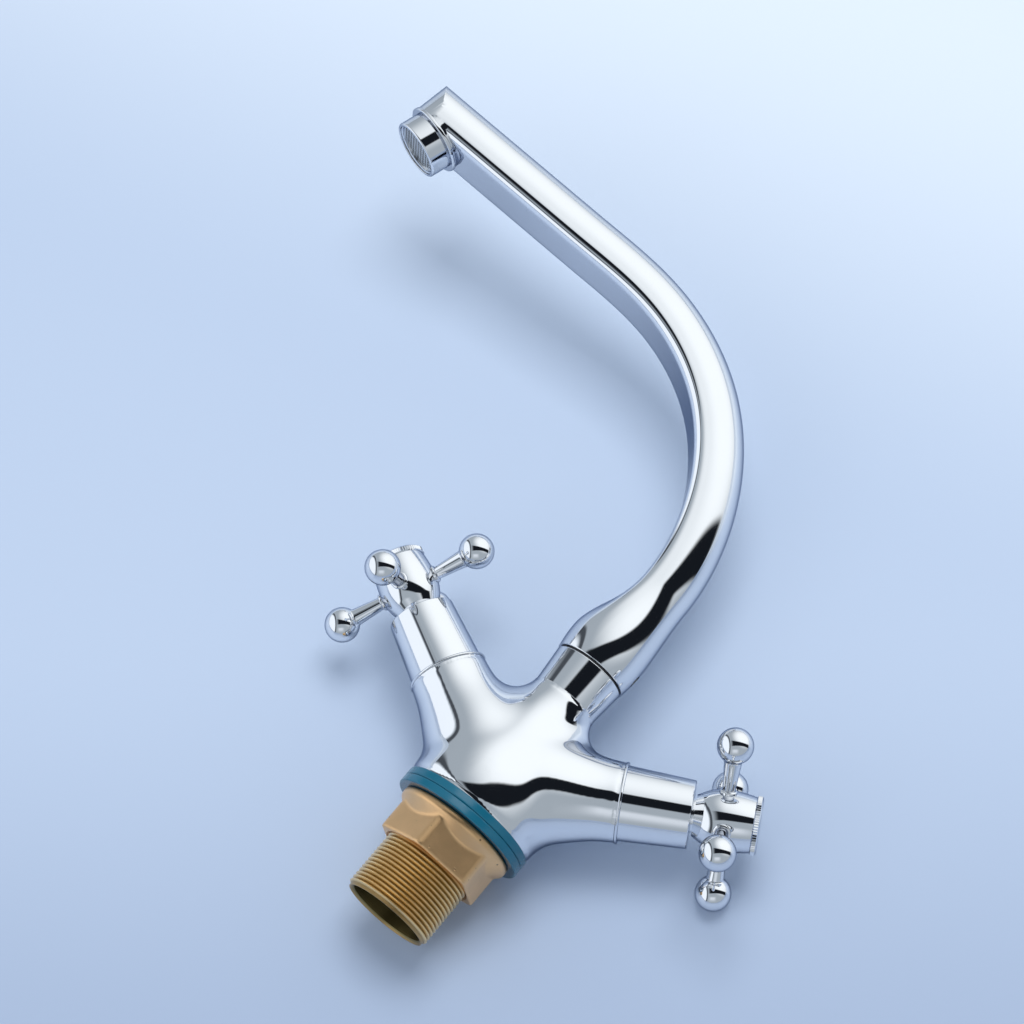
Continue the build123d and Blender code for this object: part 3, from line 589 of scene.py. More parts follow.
def eased(piece, weigh, rounds):
    """Smooths a piece further wherever weigh gives one of its points a weight."""
    group = piece.vertex_groups.new(name="eased")
    for point in piece.data.vertices:
        weight = weigh(point.co)
        if weight > 0:
            group.add([point.index], weight, "REPLACE")
    modify(piece, "SMOOTH", factor=0.5, iterations=rounds, vertex_group=group.name)
    piece.vertex_groups.clear()
    return piece


def ease_in(value, start, end):
    """Nought at start, one at end, smooth in between."""
    share = min(1.0, max(0.0, (value - start) / (end - start)))
    return share * share * (3 - 2 * share)


def trimmed(piece, point, outwards, depth):
    """Cuts a piece off at depth below a plane, then pulls the cut straight out to the plane."""
    normal = Vector(outwards).normalized()
    plane = Vector(point)
    edit(piece)
    bpy.ops.mesh.select_all(action="SELECT")
    bpy.ops.mesh.bisect(
        plane_co=plane - normal * depth, plane_no=normal, clear_outer=True, use_fill=False,
        threshold=1e-7)
    pick(piece, lambda edge: edge.is_boundary, "edges")
    bpy.ops.mesh.extrude_edges_move(TRANSFORM_OT_translate={"value": normal * depth})
    bpy.ops.mesh.edge_face_add()
    bpy.ops.object.mode_set(mode="OBJECT")
    return piece


UPRIGHT = Line((0, 0, 0), (0, 0, 1), (1, 0, 0))
SIDES = {"hot": -1, "cold": 1}
# Climb of the spout's straight run above level
RUN_RISE = radians(3.5)


def arm_line(sizes, side):
    rise = sizes.arm_rise
    return Line((0, 0, sizes.arm_height), (SIDES[side] * cos(rise), 0, sin(rise)), (0, -1, 0))


# Spout geometry


def spout_frame(sizes):
    """Reach direction, sideways direction, run direction and outlet line."""
    reach = Vector((cos(sizes.swing), sin(sizes.swing), 0))
    sideways = Vector((sin(sizes.swing), -cos(sizes.swing), 0))
    up = Vector((0, 0, 1))
    run = reach * cos(RUN_RISE) + up * sin(RUN_RISE)
    outlet_up = up * cos(sizes.outlet_tilt) - reach * sin(sizes.outlet_tilt)
    outlet = Line(reach * sizes.outlet_reach + up * sizes.outlet_height, outlet_up, sideways)
    return reach, sideways, run, outlet


def half_round(sizes, crown=16, side=3, corner=8, flat=8):
    """Points of the half-round section, X to the inside of the bend, in seven pieces."""
    half = sizes.width / 2
    inner = sizes.thickness / 2
    middle = half - inner
    radius = sizes.corner_radius
    quarter = [pi / 2 * step / crown for step in range(crown + 1)]
    bend = [pi / 2 * step / corner for step in range(corner + 1)]
    top = [(middle - half * cos(angle), half * sin(angle)) for angle in quarter]
    wall = [(middle + (inner - radius - middle) * step / side, half) for step in range(side + 1)]
    turn = [
        (inner - radius + radius * sin(angle), half - radius + radius * cos(angle))
        for angle in bend]
    base = [(inner, (half - radius) * (1 - 2 * step / flat)) for step in range(flat + 1)]
    mirrored = [[(x, -y) for x, y in reversed(piece)] for piece in (turn, wall, top)]
    return [top, wall, turn, base] + mirrored


def section(sizes, diameter, share):
    """Section part of the way from a circle to the half-round."""
    points = []
    for piece in half_round(sizes):
        first = atan2(piece[0][1], piece[0][0])
        last = atan2(piece[-1][1], piece[-1][0])
        if last > first:
            last -= 2 * pi
        steps = len(piece) - 1
        for step, (x, y) in enumerate(piece[:-1]):
            bearing = first + (last - first) * step / steps
            round_x = diameter / 2 * cos(bearing)
            round_y = diameter / 2 * sin(bearing)
            points.append((round_x + (x - round_x) * share, round_y + (y - round_y) * share))
    return points


def spline(knots, start, end, spacing):
    """Smooth plane curve through knots with set end directions: (point, direction) pairs."""
    spans = [(after - before).length for before, after in zip(knots, knots[1:])]
    inner = len(knots) - 2
    rows = Matrix([[0.0] * inner for _ in range(inner)])
    sides = [Vector([0.0] * inner) for _ in range(2)]
    for row in range(inner):
        left, right = spans[row], spans[row + 1]
        slope_left = (knots[row + 1] - knots[row]) / left
        slope_right = (knots[row + 2] - knots[row + 1]) / right
        known = 3 * (right * slope_left + left * slope_right)
        rows[row][row] = 2 * (left + right)
        if row > 0:
            rows[row][row - 1] = right
        else:
            known -= right * start
        if row < inner - 1:
            rows[row][row + 1] = left
        else:
            known -= left * end
        sides[0][row] = known.x
        sides[1][row] = known.y
    inverse = rows.inverted()
    across = inverse @ sides[0]
    upward = inverse @ sides[1]
    slopes = [start] + [Vector((across[row], upward[row])) for row in range(inner)] + [end]
    curve = []
    for number, span in enumerate(spans):
        steps = max(2, round(span / spacing))
        for step in range(steps):
            share = step / steps
            before, after = knots[number], knots[number + 1]
            out, into = slopes[number] * span, slopes[number + 1] * span
            square, cube = share ** 2, share ** 3
            point = (
                before * (2 * cube - 3 * square + 1) + out * (cube - 2 * square + share)
                + after * (3 * square - 2 * cube) + into * (cube - square))
            heading = (
                before * (6 * square - 6 * share) + out * (3 * square - 4 * share + 1)
                + after * (6 * share - 6 * square) + into * (3 * square - 2 * share))
            curve.append((point, heading.normalized()))
    return curve


def sheathed(name, rings):
    """A grid of faces wrapped round a row of rings, closed along its seam and at both ends.

    The spout's section changes from round to half-round along a curved course, which extruding
    and scaling a ring can't give, so each point of the grid is laid on its ring."""
    count = len(rings[0])
    deselect()
    bpy.ops.mesh.primitive_grid_add(
        x_subdivisions=count, y_subdivisions=len(rings) - 1, size=1, location=(0, 0, 0))
    piece = bpy.context.object
    for point in piece.data.vertices:
        column = round((point.co.x + 0.5) * count) % count
        row = round((point.co.y + 0.5) * (len(rings) - 1))
        point.co = rings[row][column]
    edit(piece)
    weld(1e-6)
    pick(piece, lambda edge: edge.is_boundary, "edges")
    bpy.ops.mesh.edge_face_add()
    face_outwards()
    return leave(piece, name)


# Operators: one for each piece or group of like pieces


class TAP_OT_materials(bpy.types.Operator):
    """Makes the finishes and gives one to every CAD node"""
    bl_idname = "tap.materials"
    bl_label = "Finishes"

    def execute(self, context):
        colours = context.scene.tap_finishes
        chrome_plate(colours.chrome)
        threaded_brass(colours.turned_brass)
        cast_brass(colours.cast_brass)
        machined_brass((0.8, 0.6, 0.3), colours.chrome, context.scene.tap_arms)
        teal_rubber(colours.rubber)
        for name in PLAIN_FINISHES:
            plain_finish(name)
        for name, node in frame["nodes"].items():
            imported = node.material_slots[0].material.name.split(".")[0]
            given = "dark_nylon" if name == "slip_washer" else imported
            for material_slot in node.material_slots:
                material_slot.material = bpy.data.materials[given]
        return {"FINISHED"}


def tell_materials_apart():
    """Frees the plain names for the finishes that are made here."""
    for imported in bpy.data.materials:
        imported.name = imported.name + ".cad"


class TAP_OT_gaskets(bpy.types.Operator):
    """Two moulded gaskets, one each side of the deck"""
    bl_idname = "tap.gaskets"
    bl_label = "Gaskets"

    def execute(self, context):
        sizes = context.scene.tap_deck
        outer, inner = sizes.gasket_diameter / 2, sizes.gasket_bore / 2
        edge = 0.5 * MM
        for name, low, body in (
                ("upper_gasket", 0.0, "body"),
                ("lower_gasket", -sizes.gasket_thickness, "lower_gasket")):
            top = low + sizes.gasket_thickness
            outline = rounded([
                (inner, low), (outer, low, edge), (outer, top, edge), (inner, top)])
            gasket = smooth(turned(f"{name}_ring", UPRIGHT, outline, steps=144))
            finish(gasket, body, "teal_rubber", name)
        return {"FINISHED"}


class TAP_OT_backnut(bpy.types.Operator):
    """Cast hexagonal nut with a flange that flows into its flats"""
    bl_idname = "tap.backnut"
    bl_label = "Backnut"

    def execute(self, context):
        sizes = context.scene.tap_deck
        top = -sizes.gasket_thickness
        bottom = top - sizes.nut_height
        corner = sizes.nut_flats / 2 / cos(radians(30))
        deselect()
        bpy.ops.mesh.primitive_cylinder_add(
            vertices=6, radius=corner, depth=sizes.nut_height, location=(0, 0, (top + bottom) / 2))
        nut = leave(bpy.context.object, "cast_backnut")
        first = nut.data.vertices[0].co
        turn = sizes.nut_turn - atan2(first.y, first.x)
        nut.data.transform(Matrix.Rotation(turn, 4, "Z"))
        edit(nut)
        pick(nut, lambda edge: abs(edge.verts[0].co.z - edge.verts[1].co.z) > sizes.nut_height / 2,
             "edges")
        bpy.ops.mesh.bevel(offset=1.6 * MM, segments=4, affect="EDGES")
        pick(nut, lambda face: face.normal.z < -0.9, "faces")
        bpy.ops.mesh.bevel(offset=0.5 * MM, segments=2, affect="EDGES")
        bpy.ops.object.mode_set(mode="OBJECT")
        flange = turned("flange", UPRIGHT, rounded([
            (0, top), (sizes.nut_flange / 2, top, 0.5 * MM),
            (sizes.nut_flange / 2, top - 2.4 * MM, 0.7 * MM),
            (sizes.nut_flats / 2 + 0.2 * MM, top - 6.0 * MM, 3 * MM),
            (sizes.nut_flats / 2 - 1.5 * MM, top - 9 * MM), (0, top - 9 * MM)]))
        cut(nut, flange, "UNION")
        remeshed(nut, 0.32 * MM, 14)
        inner = sizes.nut_bore / 2
        chamfer = inner + 0.9 * MM
        bore = turned("bore", UPRIGHT, [
            (0, bottom - MM), (chamfer, bottom - MM), (chamfer, bottom - 0.1 * MM),
            (inner, bottom + 0.8 * MM), (inner, top + MM), (0, top + MM)], steps=160)
        cut(nut, bore)
        smooth(nut, 40, weighted=False)
        finish(nut, "backnut", "cast_brass", "backnut")
        return {"FINISHED"}


class TAP_OT_casting(bpy.types.Operator):
    """The body's domed trunk and two arms as one smooth polished skin"""
    bl_idname = "tap.casting"
    bl_label = "Body casting"

    def execute(self, context):
        sizes = context.scene.tap_arms
        mesh = frame["nodes"]["body_casting"].data.copy()
        casting = bpy.data.objects.new("polished_casting", mesh)
        context.scene.collection.objects.link(casting)
        edit(casting)
        weld(1e-6)
        bpy.ops.object.mode_set(mode="OBJECT")
        bottom, top, end = 3 * MM, 53.5 * MM, sizes.arm_end
        plug, margin = 3 * MM, 0.9 * MM
        merged(casting, rod("plug", UPRIGHT, 19 * MM, bottom, bottom + plug, 48))
        merged(casting, rod("plug", UPRIGHT, 11 * MM, top - plug, top, 48))
        for side in SIDES:
            merged(casting, rod("plug", arm_line(sizes, side), 12 * MM, end - plug, end, 48))
        remeshed(casting, 0.55 * MM, 30)

        def by_the_joins(point):
            """Weight of a point on the trunk and the arms' roots, away from the cut ends."""
            width = abs(point.x)
            return (
                ease_in(width, 2 * MM, 10 * MM) * ease_in(width, 34 * MM, 24 * MM)
                * ease_in(point.z, 5 * MM, 11 * MM) * ease_in(point.z, 47 * MM, 41 * MM))

        eased(casting, by_the_joins, 260)
        trimmed(casting, (0, 0, bottom), (0, 0, -1), margin)
        trimmed(casting, (0, 0, top), (0, 0, 1), margin)
        for side in SIDES:
            line = arm_line(sizes, side)
            trimmed(casting, line.at(0, end), line.along, margin)
        cut(casting, rod("socket", UPRIGHT, 16.15 * MM, bottom - MM, 11 * MM))
        for place in (-8.5 * MM, 8.5 * MM):
            inlet = Line((place, 0, 0), (0, 0, 1), (1, 0, 0))
            cut(casting, rod("inlet", inlet, 5 * MM, 9 * MM, 24 * MM, 48))
        smooth(casting, 40, weighted=False)
        finish(casting, "body", "chrome_plate", "body_casting")
        return {"FINISHED"}


class TAP_OT_trim(bpy.types.Operator):
    """Trim rings and tapered sleeves of both arms, with rounded edges"""
    bl_idname = "tap.trim"
    bl_label = "Rings and sleeves"

    def execute(self, context):
        sizes = context.scene.tap_arms
        for side in SIDES:
            line = arm_line(sizes, side)
            start = sizes.arm_end
            ring_top = start + 1.1 * MM
            inner, outer = 11.15 * MM, sizes.ring_diameter / 2
            ring = turned(f"{side}_ring", line, rounded([
                (inner, start), (outer, start, 0.5 * MM), (outer, ring_top, 0.55 * MM),
                (inner, ring_top)]))
            finish(smooth(ring), "body", "chrome_plate", f"{side}_trim_ring")
            base, tip, end = sizes.sleeve_base / 2, sizes.sleeve_tip / 2, sizes.sleeve_end
            wall, bore, lid = 1.2 * MM, 5.95 * MM, 1.5 * MM
            sleeve = turned(f"{side}_tapered_sleeve", line, rounded([
                (base - wall, ring_top), (base, ring_top), (tip, end, 0.45 * MM),
                (bore, end, 0.2 * MM), (bore, end - lid), (tip - wall, end - lid)]))
            finish(smooth(sleeve), "body", "chrome_plate", f"{side}_sleeve")
        return {"FINISHED"}


class TAP_OT_handles(bpy.types.Operator):
    """Cross handles: bellied hub, four levers with balls and a milled cap on each arm"""
    bl_idname = "tap.handles"
    bl_label = "Cross handles"

    def hub(self, sizes, side, line):
        start = sizes.sleeve_end + 0.9 * MM
        cone_end = start + 3.1 * MM
        neck, belly, tip = 8.6 * MM, 10.2 * MM, 9.2 * MM
        middle, end = sizes.spoke_plane, sizes.hub_end
        curve = []
        for step in range(25):
            height = cone_end + (end - cone_end) * step / 24
            if height < middle:
                share = (middle - height) / (middle - cone_end)
                curve.append((belly - (belly - neck) * share ** 2, height))
            else:
                share = (height - middle) / (end - middle)
                curve.append((belly - (belly - tip) * share ** 2, height))
        outline = [(6.1 * MM, start), (6.9 * MM, start)] + curve
        outline += [(0, end), (0, start + 2.4 * MM), (6.1 * MM, start + 2.4 * MM)]
        return turned(f"{side}_bellied_hub", line, outline)

    def lever(self, sizes, side, line, turn):
        """One lever: seat, ring foot, tapered stem and ball, turned about its own axis."""
        outwards = line.across * cos(turn) + line.aside * sin(turn)
        spoke = Line(line.at(0, sizes.spoke_plane), outwards, line.along)
        seat, foot = 9.7 * MM, 0.9 * MM
        radius, centre = sizes.ball_diameter / 2, sizes.ball_circle
        tip = 3.1 * MM
        root = centre - sqrt(radius ** 2 - tip ** 2)
        outline = rounded([
            (0, seat - 3 * MM), (2 * MM, seat - 3 * MM), (2 * MM, seat), (3 * MM, seat),
            (3 * MM, seat + foot, 0.3 * MM), (2.3 * MM, seat + foot + 0.5 * MM, 0.3 * MM)], 4)
        outline.append(Vector((tip - 0.15 * MM, root - 0.5 * MM)))
        first = atan2(tip, root - centre)
        ball = [first * (1 - step / 30) for step in range(31)]
        outline += [Vector((radius * sin(angle), centre + radius * cos(angle))) for angle in ball]
        return turned(f"{side}_levers", spoke, outline, steps=56)

    def cap(self, sizes, side, line):
        """Milled cap: every second column of the rim is drawn in to make the teeth."""
        start, thickness = sizes.hub_end, 2.2 * MM
        outer, face = sizes.cap_diameter / 2, start + thickness
        plug, plug_start = 6.5 * MM, start - 1.6 * MM
        teeth = sizes.cap_teeth
        cap = turned(f"{side}_milled_cap", line, [
            (0, plug_start), (plug, plug_start), (plug, start),
            (outer - 0.45 * MM, start), (outer, start + 0.3 * MM), (outer, face - 0.5 * MM),
            (outer - 0.6 * MM, face - 0.1 * MM), (outer - 1.1 * MM, face),
            (outer - 1.5 * MM, face - 0.3 * MM), (outer - 2.0 * MM, face),
            (0, face)], steps=2 * teeth)
        edit(cap)

        def in_groove(point):
            offset = point.co - line.origin
            height = offset.dot(line.along)
            flat = offset - line.along * height
            bearing = atan2(flat.dot(line.aside), flat.dot(line.across))
            return flat.length > outer - 0.1 * MM and round(bearing * teeth / pi) % 2

        pick(cap, in_groove)
        shrink = 1 - 0.25 * MM / outer
        bpy.ops.transform.resize(
            value=(shrink,) * 3, center_override=line.at(0, start + thickness / 2))
        return leave(cap)

    def execute(self, context):
        sizes = context.scene.tap_arms
        for side in SIDES:
            line = arm_line(sizes, side)
            body = f"{side}_handle"
            hub = smooth(self.hub(sizes, side, line))
            finish(hub, body, "chrome_plate", f"{side}_hub")
            turn = getattr(sizes, f"{side}_turn")
            levers = smooth(self.lever(sizes, side, line, turn), 40)
            swing = Matrix.Translation(line.origin) @ Matrix.Rotation(pi / 2, 4, line.along)
            swing = swing @ Matrix.Translation(-line.origin)
            copies = []
            for number in range(1, 4):
                copy = bpy.data.objects.new("lever", levers.data.copy())
                context.scene.collection.objects.link(copy)
                for _ in range(number):
                    copy.data.transform(swing)
                copies.append(copy)
            for copy in copies:
                merged(levers, copy)
            finish(levers, body, "chrome_plate", f"{side}_spokes")
            cap = smooth(self.cap(sizes, side, line))
            finish(cap, body, "chrome_plate", f"{side}_index_cap")
        return {"FINISHED"}


class TAP_OT_neck(bpy.types.Operator):
    """Flared collar with the stem that carries the spout"""
    bl_idname = "tap.neck"
    bl_label = "Swivel neck"

    def execute(self, context):
        sizes = context.scene.tap_spout
        bottom, seat = 53.5 * MM, 66.9 * MM
        stem, top, bore = 8.5 * MM, 85.9 * MM, 5.5 * MM
        groove = 6.72 * MM
        outline = [
            (bore, 44.5 * MM), (9 * MM, 44.5 * MM), (9 * MM, bottom),
            (sizes.collar_base / 2, bottom, 0.15 * MM), (sizes.collar_top / 2, seat, 0.35 * MM),
            (stem, seat), (stem, 71.95 * MM), (7.3 * MM, 71.95 * MM), (7.3 * MM, 76.35 * MM),
            (stem, 76.35 * MM), (stem, 76.85 * MM), (groove, 76.85 * MM), (groove, 78.95 * MM),
            (stem, 78.95 * MM), (stem, 81.85 * MM), (groove, 81.85 * MM), (groove, 83.95 * MM),
            (stem, 83.95 * MM), (stem, top), (bore, top)]
        collar = turned("flared_collar", UPRIGHT, rounded(outline))
        finish(smooth(collar), "body", "chrome_plate", "neck_collar")
        return {"FINISHED"}


class TAP_OT_spout(bpy.types.Operator):
    """Swan-neck spout: round foot, half-round bend and run, and a rounded end"""
    bl_idname = "tap.spout"
    bl_label = "Spout"

    def execute(self, context):
        sizes = context.scene.tap_spout
        reach, sideways, run, outlet = spout_frame(sizes)
        up = Vector((0, 0, 1))
        foot, shoulder, neck_end = 67.55 * MM, 76.55 * MM, 103.55 * MM
        setback = 3.5 * MM

        def ring(centre, heading, diameter, share):
            inside = heading.cross(sideways)
            aside = heading.cross(inside)
            return [
                centre + inside * x + aside * y for x, y in section(sizes, diameter, share)]

        rings = []
        growth = sizes.shoulder_diameter - sizes.foot_diameter
        edge = 0.35 * MM
        for step in range(5):
            angle = pi / 2 * step / 4
            rings.append(ring(
                up * (foot + edge * (1 - cos(angle))), up,
                sizes.foot_diameter - 2 * edge * (1 - sin(angle)), 0))
        for step in range(1, 10):
            share = step / 9
            height = foot + edge + (shoulder - foot - edge) * share
            rings.append(ring(
                up * height, up, sizes.shoulder_diameter - growth * (1 - share) ** 2, 0))
        for step in range(1, 28):
            climb = step / 27
            share = climb * climb * (3 - 2 * climb)
            height = shoulder + (neck_end - shoulder) * climb
            rings.append(ring(
                up * height - reach * setback * share, up, sizes.shoulder_diameter, share))
        knots = [Vector(point) * MM for point in (
            (-3.5, 103.55), (3.3, 137.1), (26.5, 170.1), (63.9, 188.6), (101.5, 192.3))]
        slope = Vector((cos(RUN_RISE), sin(RUN_RISE)))
        bend = spline(knots, Vector((0, 1)), slope, 1.2 * MM)
        for point, heading in bend[1:]:
            centre = reach * point.x + up * point.y
            rings.append(ring(centre, reach * heading.x + up * heading.y, sizes.width, 1))
        lift = knots[-1].y - knots[-1].x * tan(RUN_RISE) - sizes.outlet_height
        lean = tan(sizes.outlet_tilt)
        tip = (sizes.outlet_reach - lift * lean) / (1 + tan(RUN_RISE) * lean)
        hood = 20 * MM
        length = (tip - knots[-1].x) / slope.x + hood
        start = reach * knots[-1].x + up * knots[-1].y
        steps = 40
        for step in range(steps + 1):
            rings.append(ring(start + run * length * step / steps, run, sizes.width, 1))
        spout = sheathed("swan_spout", rings)
        # The end: everything beyond the outlet's axis lies inside a cone that flares from the lip
        tip_point = start + run * (length - hood)
        radius = 12.2 * MM
        depth = 40 * MM
        cone = turned("cone", outlet, [
            (0, 0), (radius, 0), (radius + depth * tan(radians(7)), depth), (0, depth)], steps=160)
        deselect()
        bpy.ops.mesh.primitive_cube_add(size=1, location=(0, 0, 0))
        waste = bpy.context.object
        inside = run.cross(sideways)
        box = Matrix.Identity(4)
        waste_length, waste_width = 0.06, 0.08
        centre = tip_point + run * (waste_length / 2)
        for axis in range(3):
            box[axis][0] = run[axis] * waste_length
            box[axis][1] = sideways[axis] * waste_width
            box[axis][2] = inside[axis] * waste_width
            box[axis][3] = centre[axis]
        waste.data.transform(box)
        edit(waste)
        face_outwards()
        bpy.ops.object.mode_set(mode="OBJECT")
        cut(waste, cone)
        cut(spout, waste)
        rim = 12.8 * MM
        lip = turned("lip", outlet, rounded([
            (0, 0), (rim, 0, 0.45 * MM), (rim, 1.5 * MM, 0.45 * MM),
            (radius, 1.55 * MM), (radius, 7.0 * MM), (0, 7.0 * MM)]), steps=160)
        cut(spout, lip, "UNION")
        cut(spout, rod("bore", outlet, 10.65 * MM, -MM, 8.3 * MM))
        cut(spout, rod("bush_bore", UPRIGHT, 11.85 * MM, foot - MM, 86.2 * MM))
        back = Line(up * 74.15 * MM, -reach, up)
        cut(spout, rod("grub_hole", back, 2.15 * MM, 9 * MM, 18 * MM, 48))
        mended(spout)
        smooth(spout, 32)
        finish(spout, "spout", "chrome_plate", "spout")
        return {"FINISHED"}


class TAP_OT_aerator(bpy.types.Operator):
    """Aerator shell with a rolled rim"""
    bl_idname = "tap.aerator"
    bl_label = "Aerator"

    def execute(self, context):
        sizes = context.scene.tap_spout
        outlet = spout_frame(sizes)[3]
        opening, outer = -sizes.aerator_drop, sizes.aerator_diameter / 2
        seat, top, thread, bore, mouth = -0.3 * MM, 6.6 * MM, 10.55 * MM, 9.65 * MM, 9.7 * MM
        ledge, ledge_top = 9.2 * MM, opening + 1.4 * MM
        shell = turned("rolled_aerator", outlet, rounded([
            (mouth, opening, 0.25 * MM), (outer, opening, 0.7 * MM), (outer, seat, 0.2 * MM),
            (thread, seat), (thread, top), (bore, top), (bore, ledge_top), (ledge, ledge_top),
            (ledge, opening + 0.9 * MM), (mouth, opening + 0.65 * MM)]))
        finish(smooth(shell), "spout", "chrome_plate", "aerator_shell")
        return {"FINISHED"}


# Stage: the surface the tap lies on, the light around it and the camera

VIEW_RIGHT = Vector((0.7796, 0.0326, 0.6254))
VIEW_DOWN = Vector((0.5597, 0.4118, -0.7191))
VIEW_AHEAD = Vector((-0.281, 0.9107, 0.3028))
CAMERA_PLACE = Vector((0.2196, -0.8964, -0.2011))
SENSOR_WIDTH = 36
FOCAL_LENGTH = 2870.06 / 1024 * SENSOR_WIDTH
FLOOR_NORMAL = Vector((0.0429, 0.9969, -0.0659))
FLOOR_OFFSET = 0.02464
SHEET_SIZE = 2.6
TAP_MIDDLE = Vector((-0.03, 0, 0.09))
LAMP_AIM = Vector((-0.03, 0, 0.08))
OVERHEAD = (0.62 * VIEW_RIGHT - 0.72 * VIEW_DOWN - 0.31 * VIEW_AHEAD).normalized()


class TAP_OT_stage(bpy.types.Operator):
    """Pale surface under the lying tap, soft light and the camera"""
    bl_idname = "tap.stage"
    bl_label = "Stage"

    def surface(self, colour):
        """A wide sheet whose far edges rise a little, clear when seen from behind."""
        deselect()
        bpy.ops.mesh.primitive_plane_add(size=SHEET_SIZE, location=(0, 0, 0))
        sheet = bpy.context.object
        edit(sheet)
        bpy.ops.mesh.select_all(action="SELECT")
        bpy.ops.mesh.subdivide(number_cuts=7)
        rim = SHEET_SIZE / 2 - 0.1
        pick(sheet, lambda point: max(abs(point.co.x), abs(point.co.y)) > rim)
        bpy.ops.transform.translate(value=(0, 0, 0.12))
        leave(sheet, "pale_surface")
        towards = -FLOOR_NORMAL.normalized()
        along = VIEW_RIGHT - towards * VIEW_RIGHT.dot(towards)
        along.normalize()
        place = Matrix((along, towards.cross(along), towards)).transposed().to_4x4()
        place.translation = TAP_MIDDLE - towards * (TAP_MIDDLE.dot(towards) + FLOOR_OFFSET)
        sheet.data.transform(place)
        only(sheet)
        bpy.ops.object.shade_smooth()
        shader = new_material("pale_surface")
        reach = (-FLOOR_OFFSET - CAMERA_PLACE.dot(towards)) / VIEW_AHEAD.dot(towards)
        seen_middle = CAMERA_PLACE + VIEW_AHEAD * reach
        position = shader.place()
        tint = shader.blend(shader.noise(2.2, 2.0), rgba(colour, 0.98), rgba(colour, 1.02))
        # Each painted tone rises along a direction, in metres from the middle of the sheet's seen
        # part: painted light makes the sheet paler towards the upper right, and a painted shadow
        # of the tap makes it darker towards the bottom
        for direction, start, end, shade in (
                (0.35 * VIEW_RIGHT - VIEW_DOWN, 0.03, 0.27, (0.76, 0.84, 0.93)),
                (VIEW_DOWN, 0.04, 0.2, (0.4, 0.49, 0.65))):
            share = shader.along(position, direction) - seen_middle.dot(direction)
            tint = shader.blend(shader.fade(share, start, end), tint, rgba(shade))
        painted = shader.add(
            "ShaderNodeBsdfPrincipled", Base_Color=tint, Roughness=0.38, IOR=1.3)
        clear = shader.add("ShaderNodeBsdfTransparent")
        behind = shader.add("ShaderNodeNewGeometry", out=6)
        both = shader.add("ShaderNodeMixShader", Fac=behind, _1=painted, _2=clear)
        shader.add("ShaderNodeOutputMaterial", Surface=both)
        sheet.data.materials.append(bpy.data.materials["pale_surface"])

    def surroundings(self):
        """A bright room with one dark gap above the camera, and a plain pale backdrop."""
        world = bpy.data.worlds.new("room")
        bpy.context.scene.world = world
        world.use_nodes = True
        shader = Shader(world.node_tree)
        towards = shader.add("ShaderNodeTexCoord", out=0)

        right, down, back, overhead = (
            shader.along(towards, direction)
            for direction in (VIEW_RIGHT, VIEW_DOWN, -VIEW_AHEAD, OVERHEAD))
        level = down * 0.935 + back * 0.343
        gap = shader.fade(level - right * 0.196, -0.28, -0.22)
        gap = gap * (1.0 - shader.fade(level + right * 0.014, 0.2, 0.27))
        gap = gap * shader.fade(right, -0.6, -0.3) * shader.fade(back, 0.0, 0.2)
        seam = shader.fade(right, -0.68, -0.64) * (1.0 - shader.fade(right, -0.6, -0.56))
        low_box = shader.fade(down, 0.2, 0.4) * (1.0 - shader.fade(down, 0.45, 0.8))
        low_box = low_box * (1.0 - shader.fade(abs(right + 0.1), 0.1, 0.45))
        diffuse = shader.add("ShaderNodeLightPath", out=2)
        seen = shader.add("ShaderNodeLightPath", out=0)
        room = rgba((0.38, 0.43, 0.48))
        for share, colour in (
                (shader.fade(overhead, 0.42, 0.98), (1.05, 1.1, 1.13)),
                (shader.fade(right, -0.66, -0.72), (0.95, 1.02, 1.1)),
                (low_box * 0.6, (0.9, 0.96, 1.04)),
                (gap, (0.008, 0.010, 0.014)),
                (seam * 0.9, (0.03, 0.035, 0.045)),
                (diffuse, (0.5, 0.54, 0.6)),
                (seen, (0.6, 0.66, 0.78))):
            room = shader.blend(share, room, rgba(colour))
        light = shader.add("ShaderNodeBackground", Color=room, Strength=1.0)
        shader.add("ShaderNodeOutputWorld", Surface=light)

    def lamp(self, name, place, size, power):
        """Soft box aimed at the tap, which no reflection shows."""
        light = bpy.data.lights.new(name, "AREA")
        light.shape = "RECTANGLE"
        light.size, light.size_y = size
        light.energy = power
        lamp = bpy.data.objects.new(name, light)
        bpy.context.scene.collection.objects.link(lamp)
        lamp.location = LAMP_AIM + place
        lamp.rotation_mode = "QUATERNION"
        lamp.rotation_quaternion = (-place).to_track_quat("-Z", "Y")
        lamp.visible_glossy = False

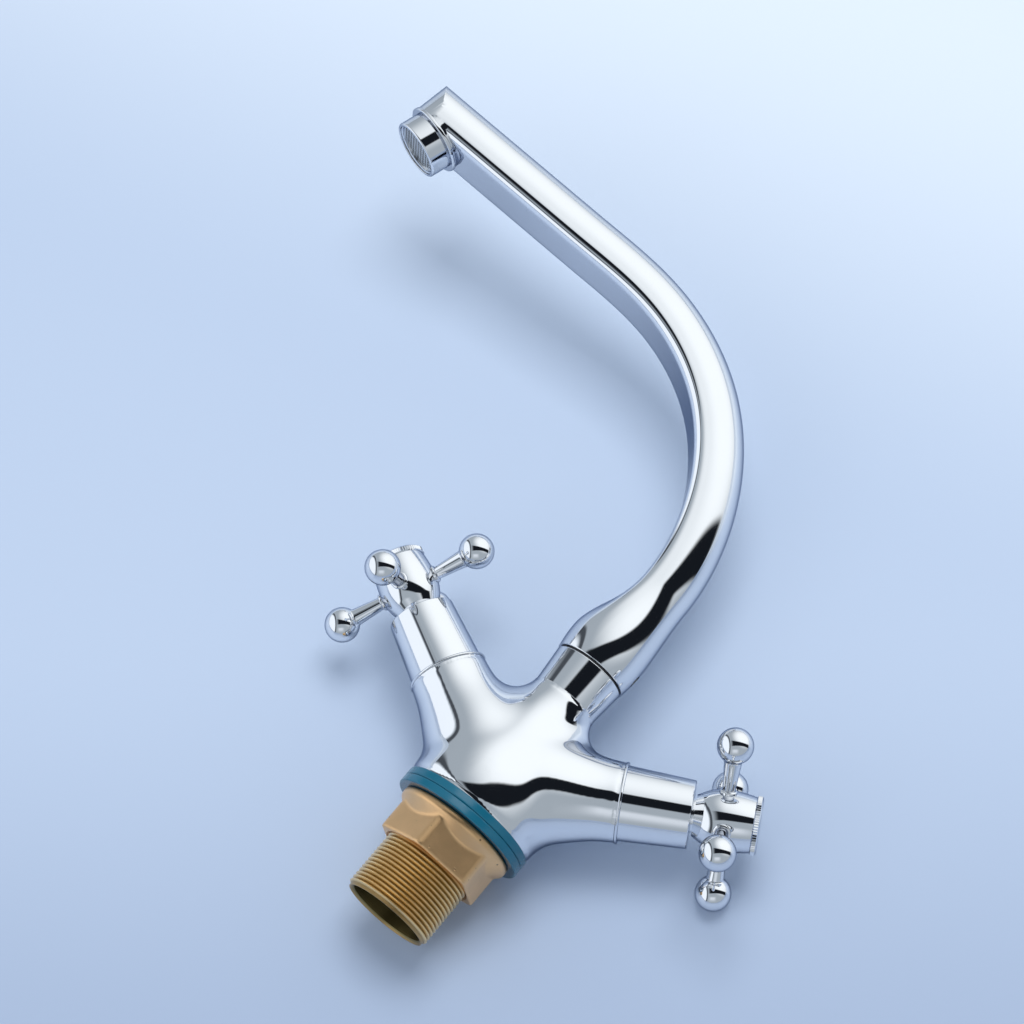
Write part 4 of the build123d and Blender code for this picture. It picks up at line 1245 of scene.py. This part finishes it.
    def execute(self, context):
        scene = context.scene
        scene.view_settings.view_transform = "Standard"
        self.surface(scene.tap_finishes.backdrop)
        self.surroundings()
        back = -VIEW_AHEAD
        self.lamp("key", -VIEW_DOWN * 0.9 + back * 1.0 + VIEW_RIGHT * 0.1, (0.8, 0.6), 9.5)
        self.lamp("fill", -VIEW_RIGHT * 0.9 + back * 1.1, (1.0, 1.0), 2.5)
        camera = bpy.data.objects.new("camera", bpy.data.cameras.new("camera"))
        scene.collection.objects.link(camera)
        camera.data.sensor_width = SENSOR_WIDTH
        camera.data.lens = FOCAL_LENGTH
        turn = Matrix((VIEW_RIGHT, -VIEW_DOWN, -VIEW_AHEAD)).transposed().to_4x4()
        camera.matrix_world = Matrix.Translation(CAMERA_PLACE) @ turn
        scene.camera = camera
        return {"FINISHED"}


class TAP_PT_panel(bpy.types.Panel):
    """Lists the pieces of the tap"""
    bl_idname = "TAP_PT_panel"
    bl_label = "Basin tap"
    bl_space_type = "VIEW_3D"
    bl_region_type = "UI"
    bl_category = "Basin tap"

    def draw(self, context):
        for operator in OPERATORS:
            self.layout.operator(operator.bl_idname)
        for group in GROUPS:
            box = self.layout.box()
            settings = getattr(context.scene, group)
            for name in GROUPS[group].__annotations__:
                box.prop(settings, name)


GROUPS = {
    "tap_deck": DeckSizes,
    "tap_arms": ArmSizes,
    "tap_spout": SpoutSizes,
    "tap_finishes": Finishes,
}
OPERATORS = (
    TAP_OT_materials,
    TAP_OT_gaskets,
    TAP_OT_backnut,
    TAP_OT_casting,
    TAP_OT_trim,
    TAP_OT_handles,
    TAP_OT_neck,
    TAP_OT_spout,
    TAP_OT_aerator,
    TAP_OT_stage,
)


def register():
    for name, group in GROUPS.items():
        bpy.utils.register_class(group)
        setattr(bpy.types.Scene, name, PointerProperty(type=group))
    for operator in OPERATORS:
        bpy.utils.register_class(operator)
    bpy.utils.register_class(TAP_PT_panel)


def unregister():
    bpy.utils.unregister_class(TAP_PT_panel)
    for operator in reversed(OPERATORS):
        bpy.utils.unregister_class(operator)
    for name, group in GROUPS.items():
        delattr(bpy.types.Scene, name)
        bpy.utils.unregister_class(group)


def main():
    register()
    tell_materials_apart()
    for operator in OPERATORS:
        group, name = operator.bl_idname.split(".")
        getattr(getattr(bpy.ops, group), name)()


if __name__ == "__main__":
    main()
